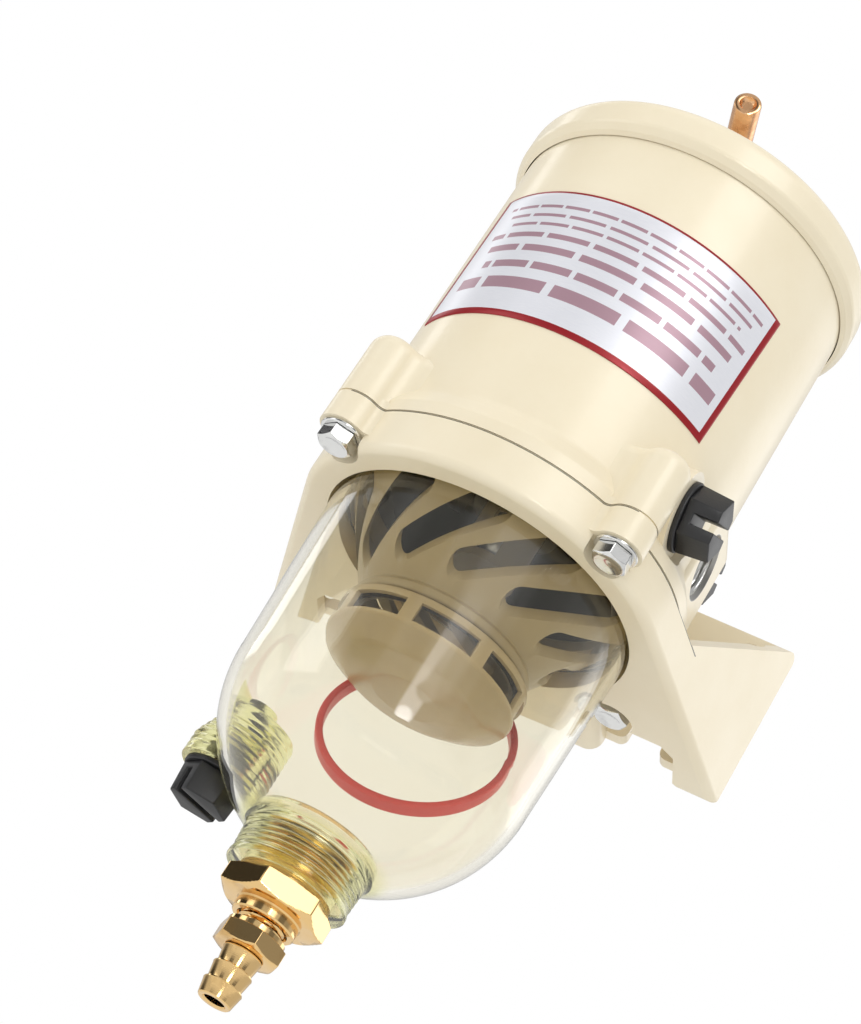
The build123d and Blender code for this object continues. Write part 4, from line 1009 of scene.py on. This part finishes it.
# camera: a long lens below and to the right of the front, rolled as in the photograph
cameraSetup = {
    "azimuth": 20.2, "below": 27.29, "roll": 33.02, "distance": 815.1, "focalPixels": 2804.1,
    "imageHeight": 1024, "aimRight": -71.41, "aimUp": -71.20, "sensor": 36,
}


def addCamera():
    s = cameraSetup
    a, p, roll = (math.radians(s[key]) for key in ("azimuth", "below", "roll"))
    toCamera = Vector((math.sin(a) * math.cos(p), -math.cos(a) * math.cos(p), -math.sin(p)))
    level = Vector((math.cos(a), math.sin(a), 0))
    upright = level.cross(-toCamera)
    right = math.cos(roll) * level + math.sin(roll) * upright
    up = -math.sin(roll) * level + math.cos(roll) * upright
    spot = s["aimRight"] * right + s["aimUp"] * up + s["distance"] * toCamera
    data = bpy.data.cameras.new("camera")
    data.sensor_width = data.sensor_height = s["sensor"]
    data.lens = s["focalPixels"] * s["sensor"] / s["imageHeight"]
    data.clip_start = 0.05
    camera = bpy.data.objects.new("camera", data)
    scene.collection.objects.link(camera)
    turn = Matrix((right, up, toCamera)).transposed().to_4x4()
    camera.matrix_world = Matrix.Translation(toRow @ spot) @ turn
    scene.camera = camera


addCamera()

# studio: white all round, with darker and brighter parts that only reflections show.
# spots and blobs are a direction, where they start and are full, and their level; strips are an
# azimuth, half a width, low and high ends and a level; lamps are a direction, distance, size and power
studioSetup = {
    "floorLevel": -0.75, "floorSize": 8.0, "diffuse": 0.99, "rightFall": 0.10, "around": 0.62,
    "spots": [((-0.89, 0.02, 0.46), 0.80, 0.93, 0.04), ((-0.45, -0.77, 0.46), 0.93, 0.985, 0.30),
              ((0.89, 0.0, 0.46), 0.93, 0.985, 0.34), ((0.42, -0.78, 0.46), 0.955, 0.985, 1.7),
              ((0.47, 0.76, 0.46), 0.92, 0.98, 1.35)],
    "strips": [(160.0, 4.5, 0.25, 0.75, 2.6), (-112.0, 9.0, -0.05, 0.70, 0.14),
               (-24.0, 9.0, -0.05, 0.70, 0.2), (-66.5, 5.0, -0.08, 0.36, 6.0)],
    "stripEdge": 1.5, "stripEnd": 0.05,
    "blobs": [((0.397, -0.912, -0.10), 0.992, 0.998, 15.0), ((-0.42, -0.824, -0.38), 0.990, 0.997, 13.0),
              ((0.458, -0.847, 0.27), 0.990, 0.996, 2.4)],
    "lamps": [("key", (0.40, -0.62, 0.58), 0.95, 0.42, 1.6), ("left", (-0.80, -0.55, 0.10), 1.1, 0.5, 1.0),
              ("low", (0.25, -0.60, -0.75), 1.2, 0.6, 0.5), ("rim", (0.55, 0.72, 0.35), 1.1, 0.5, 0.4)],
    "aim": (0, 0, -90),
}


def seenRays(tree, path):
    # rays that come from the camera, straight or through the clear plastic
    return calc(tree, "MAXIMUM", path["Is Camera Ray"], path["Is Transmission Ray"])


def addFloor():
    bm = bmesh.new()
    half = studioSetup["floorSize"] / 2
    bm.faces.new([bm.verts.new((half * x, half * y, 0)) for x, y in ((-1, -1), (1, -1), (1, 1), (-1, 1))])
    mesh = bpy.data.meshes.new("studioFloor")
    bm.to_mesh(mesh)
    bm.free()
    floor = bpy.data.objects.new("studioFloor", mesh)
    floor.location = (0, 0, studioSetup["floorLevel"])
    scene.collection.objects.link(floor)
    mat, tree, shader = newMaterial("studioFloor")
    feed(tree, shader, Base_Color=(0.85, 0.85, 0.84, 1), Roughness=0.9)
    white = addNode(tree, "ShaderNodeEmission", Color=(1, 1, 1, 1), Strength=1.0)
    seen = seenRays(tree, addNode(tree, "ShaderNodeLightPath").outputs)
    mixed = addNode(tree, "ShaderNodeMixShader", i0=seen, i1=shader.outputs[0], i2=white.outputs[0])
    feed(tree, tree.nodes["Material Output"], Surface=mixed.outputs[0])
    mesh.materials.append(mat)


def addWorld():
    s = studioSetup
    world = bpy.data.worlds.new("studio")
    scene.world = world
    world.use_nodes = True
    tree = world.node_tree
    way = addNode(tree, "ShaderNodeTexCoord").outputs["Generated"]

    def towards(way, aim):
        node = addNode(tree, "ShaderNodeVectorMath", {"operation": "DOT_PRODUCT"}, i0=way, i1=tuple(aim))
        return node.outputs["Value"]

    def addSpots(glow, spots):
        for direction, near, full, level in spots:
            mask = smooth(tree, towards(way, Vector(direction).normalized()), near, full)
            glow = mixNumbers(tree, mask, glow, level)
        return glow

    glow = addSpots(s["around"], s["spots"])
    across, along, height = addNode(tree, "ShaderNodeSeparateXYZ", Vector=way).outputs
    flat = addNode(tree, "ShaderNodeCombineXYZ", X=across, Y=along)
    flat = addNode(tree, "ShaderNodeVectorMath", {"operation": "NORMALIZE"}, i0=flat.outputs[0]).outputs[0]
    for azimuth, halfWidth, low, high, level in s["strips"]:
        a = math.radians(azimuth)
        edge = math.cos(math.radians(halfWidth))
        wide = smooth(tree, towards(flat, (math.cos(a), math.sin(a), 0.0)),
                      edge - (1 - edge) * s["stripEdge"], edge)
        above = smooth(tree, height, low - s["stripEnd"], low)
        below = smooth(tree, height, high, high + s["stripEnd"], 1.0, 0.0)
        glow = mixNumbers(tree, calc(tree, "MULTIPLY", wide, meet(tree, above, below)), glow, level)
    glow = addSpots(glow, s["blobs"])
    path = addNode(tree, "ShaderNodeLightPath").outputs
    seen = seenRays(tree, path)
    around = calc(tree, "ADD", calc(tree, "MULTIPLY", across, -s["rightFall"]), s["diffuse"])
    lit = mixNumbers(tree, path["Is Glossy Ray"], around, glow)
    feed(tree, tree.nodes["Background"], Color=(1, 1, 1, 1), Strength=mixNumbers(tree, seen, lit, 1.0))


def addLamps():
    middle = toRow @ Vector(studioSetup["aim"])
    for name, direction, away, size, watts in studioSetup["lamps"]:
        data = bpy.data.lights.new(name, "AREA")
        data.size = size
        data.energy = watts
        lamp = bpy.data.objects.new(name, data)
        aim = Vector(direction).normalized()
        lamp.location = middle + aim * away
        lamp.rotation_euler = aim.to_track_quat("Z", "Y").to_euler()
        lamp.visible_camera = False
        scene.collection.objects.link(lamp)


addFloor()
addWorld()
addLamps()
scene.view_settings.view_transform = "Standard"
print("camera, light and surroundings set")
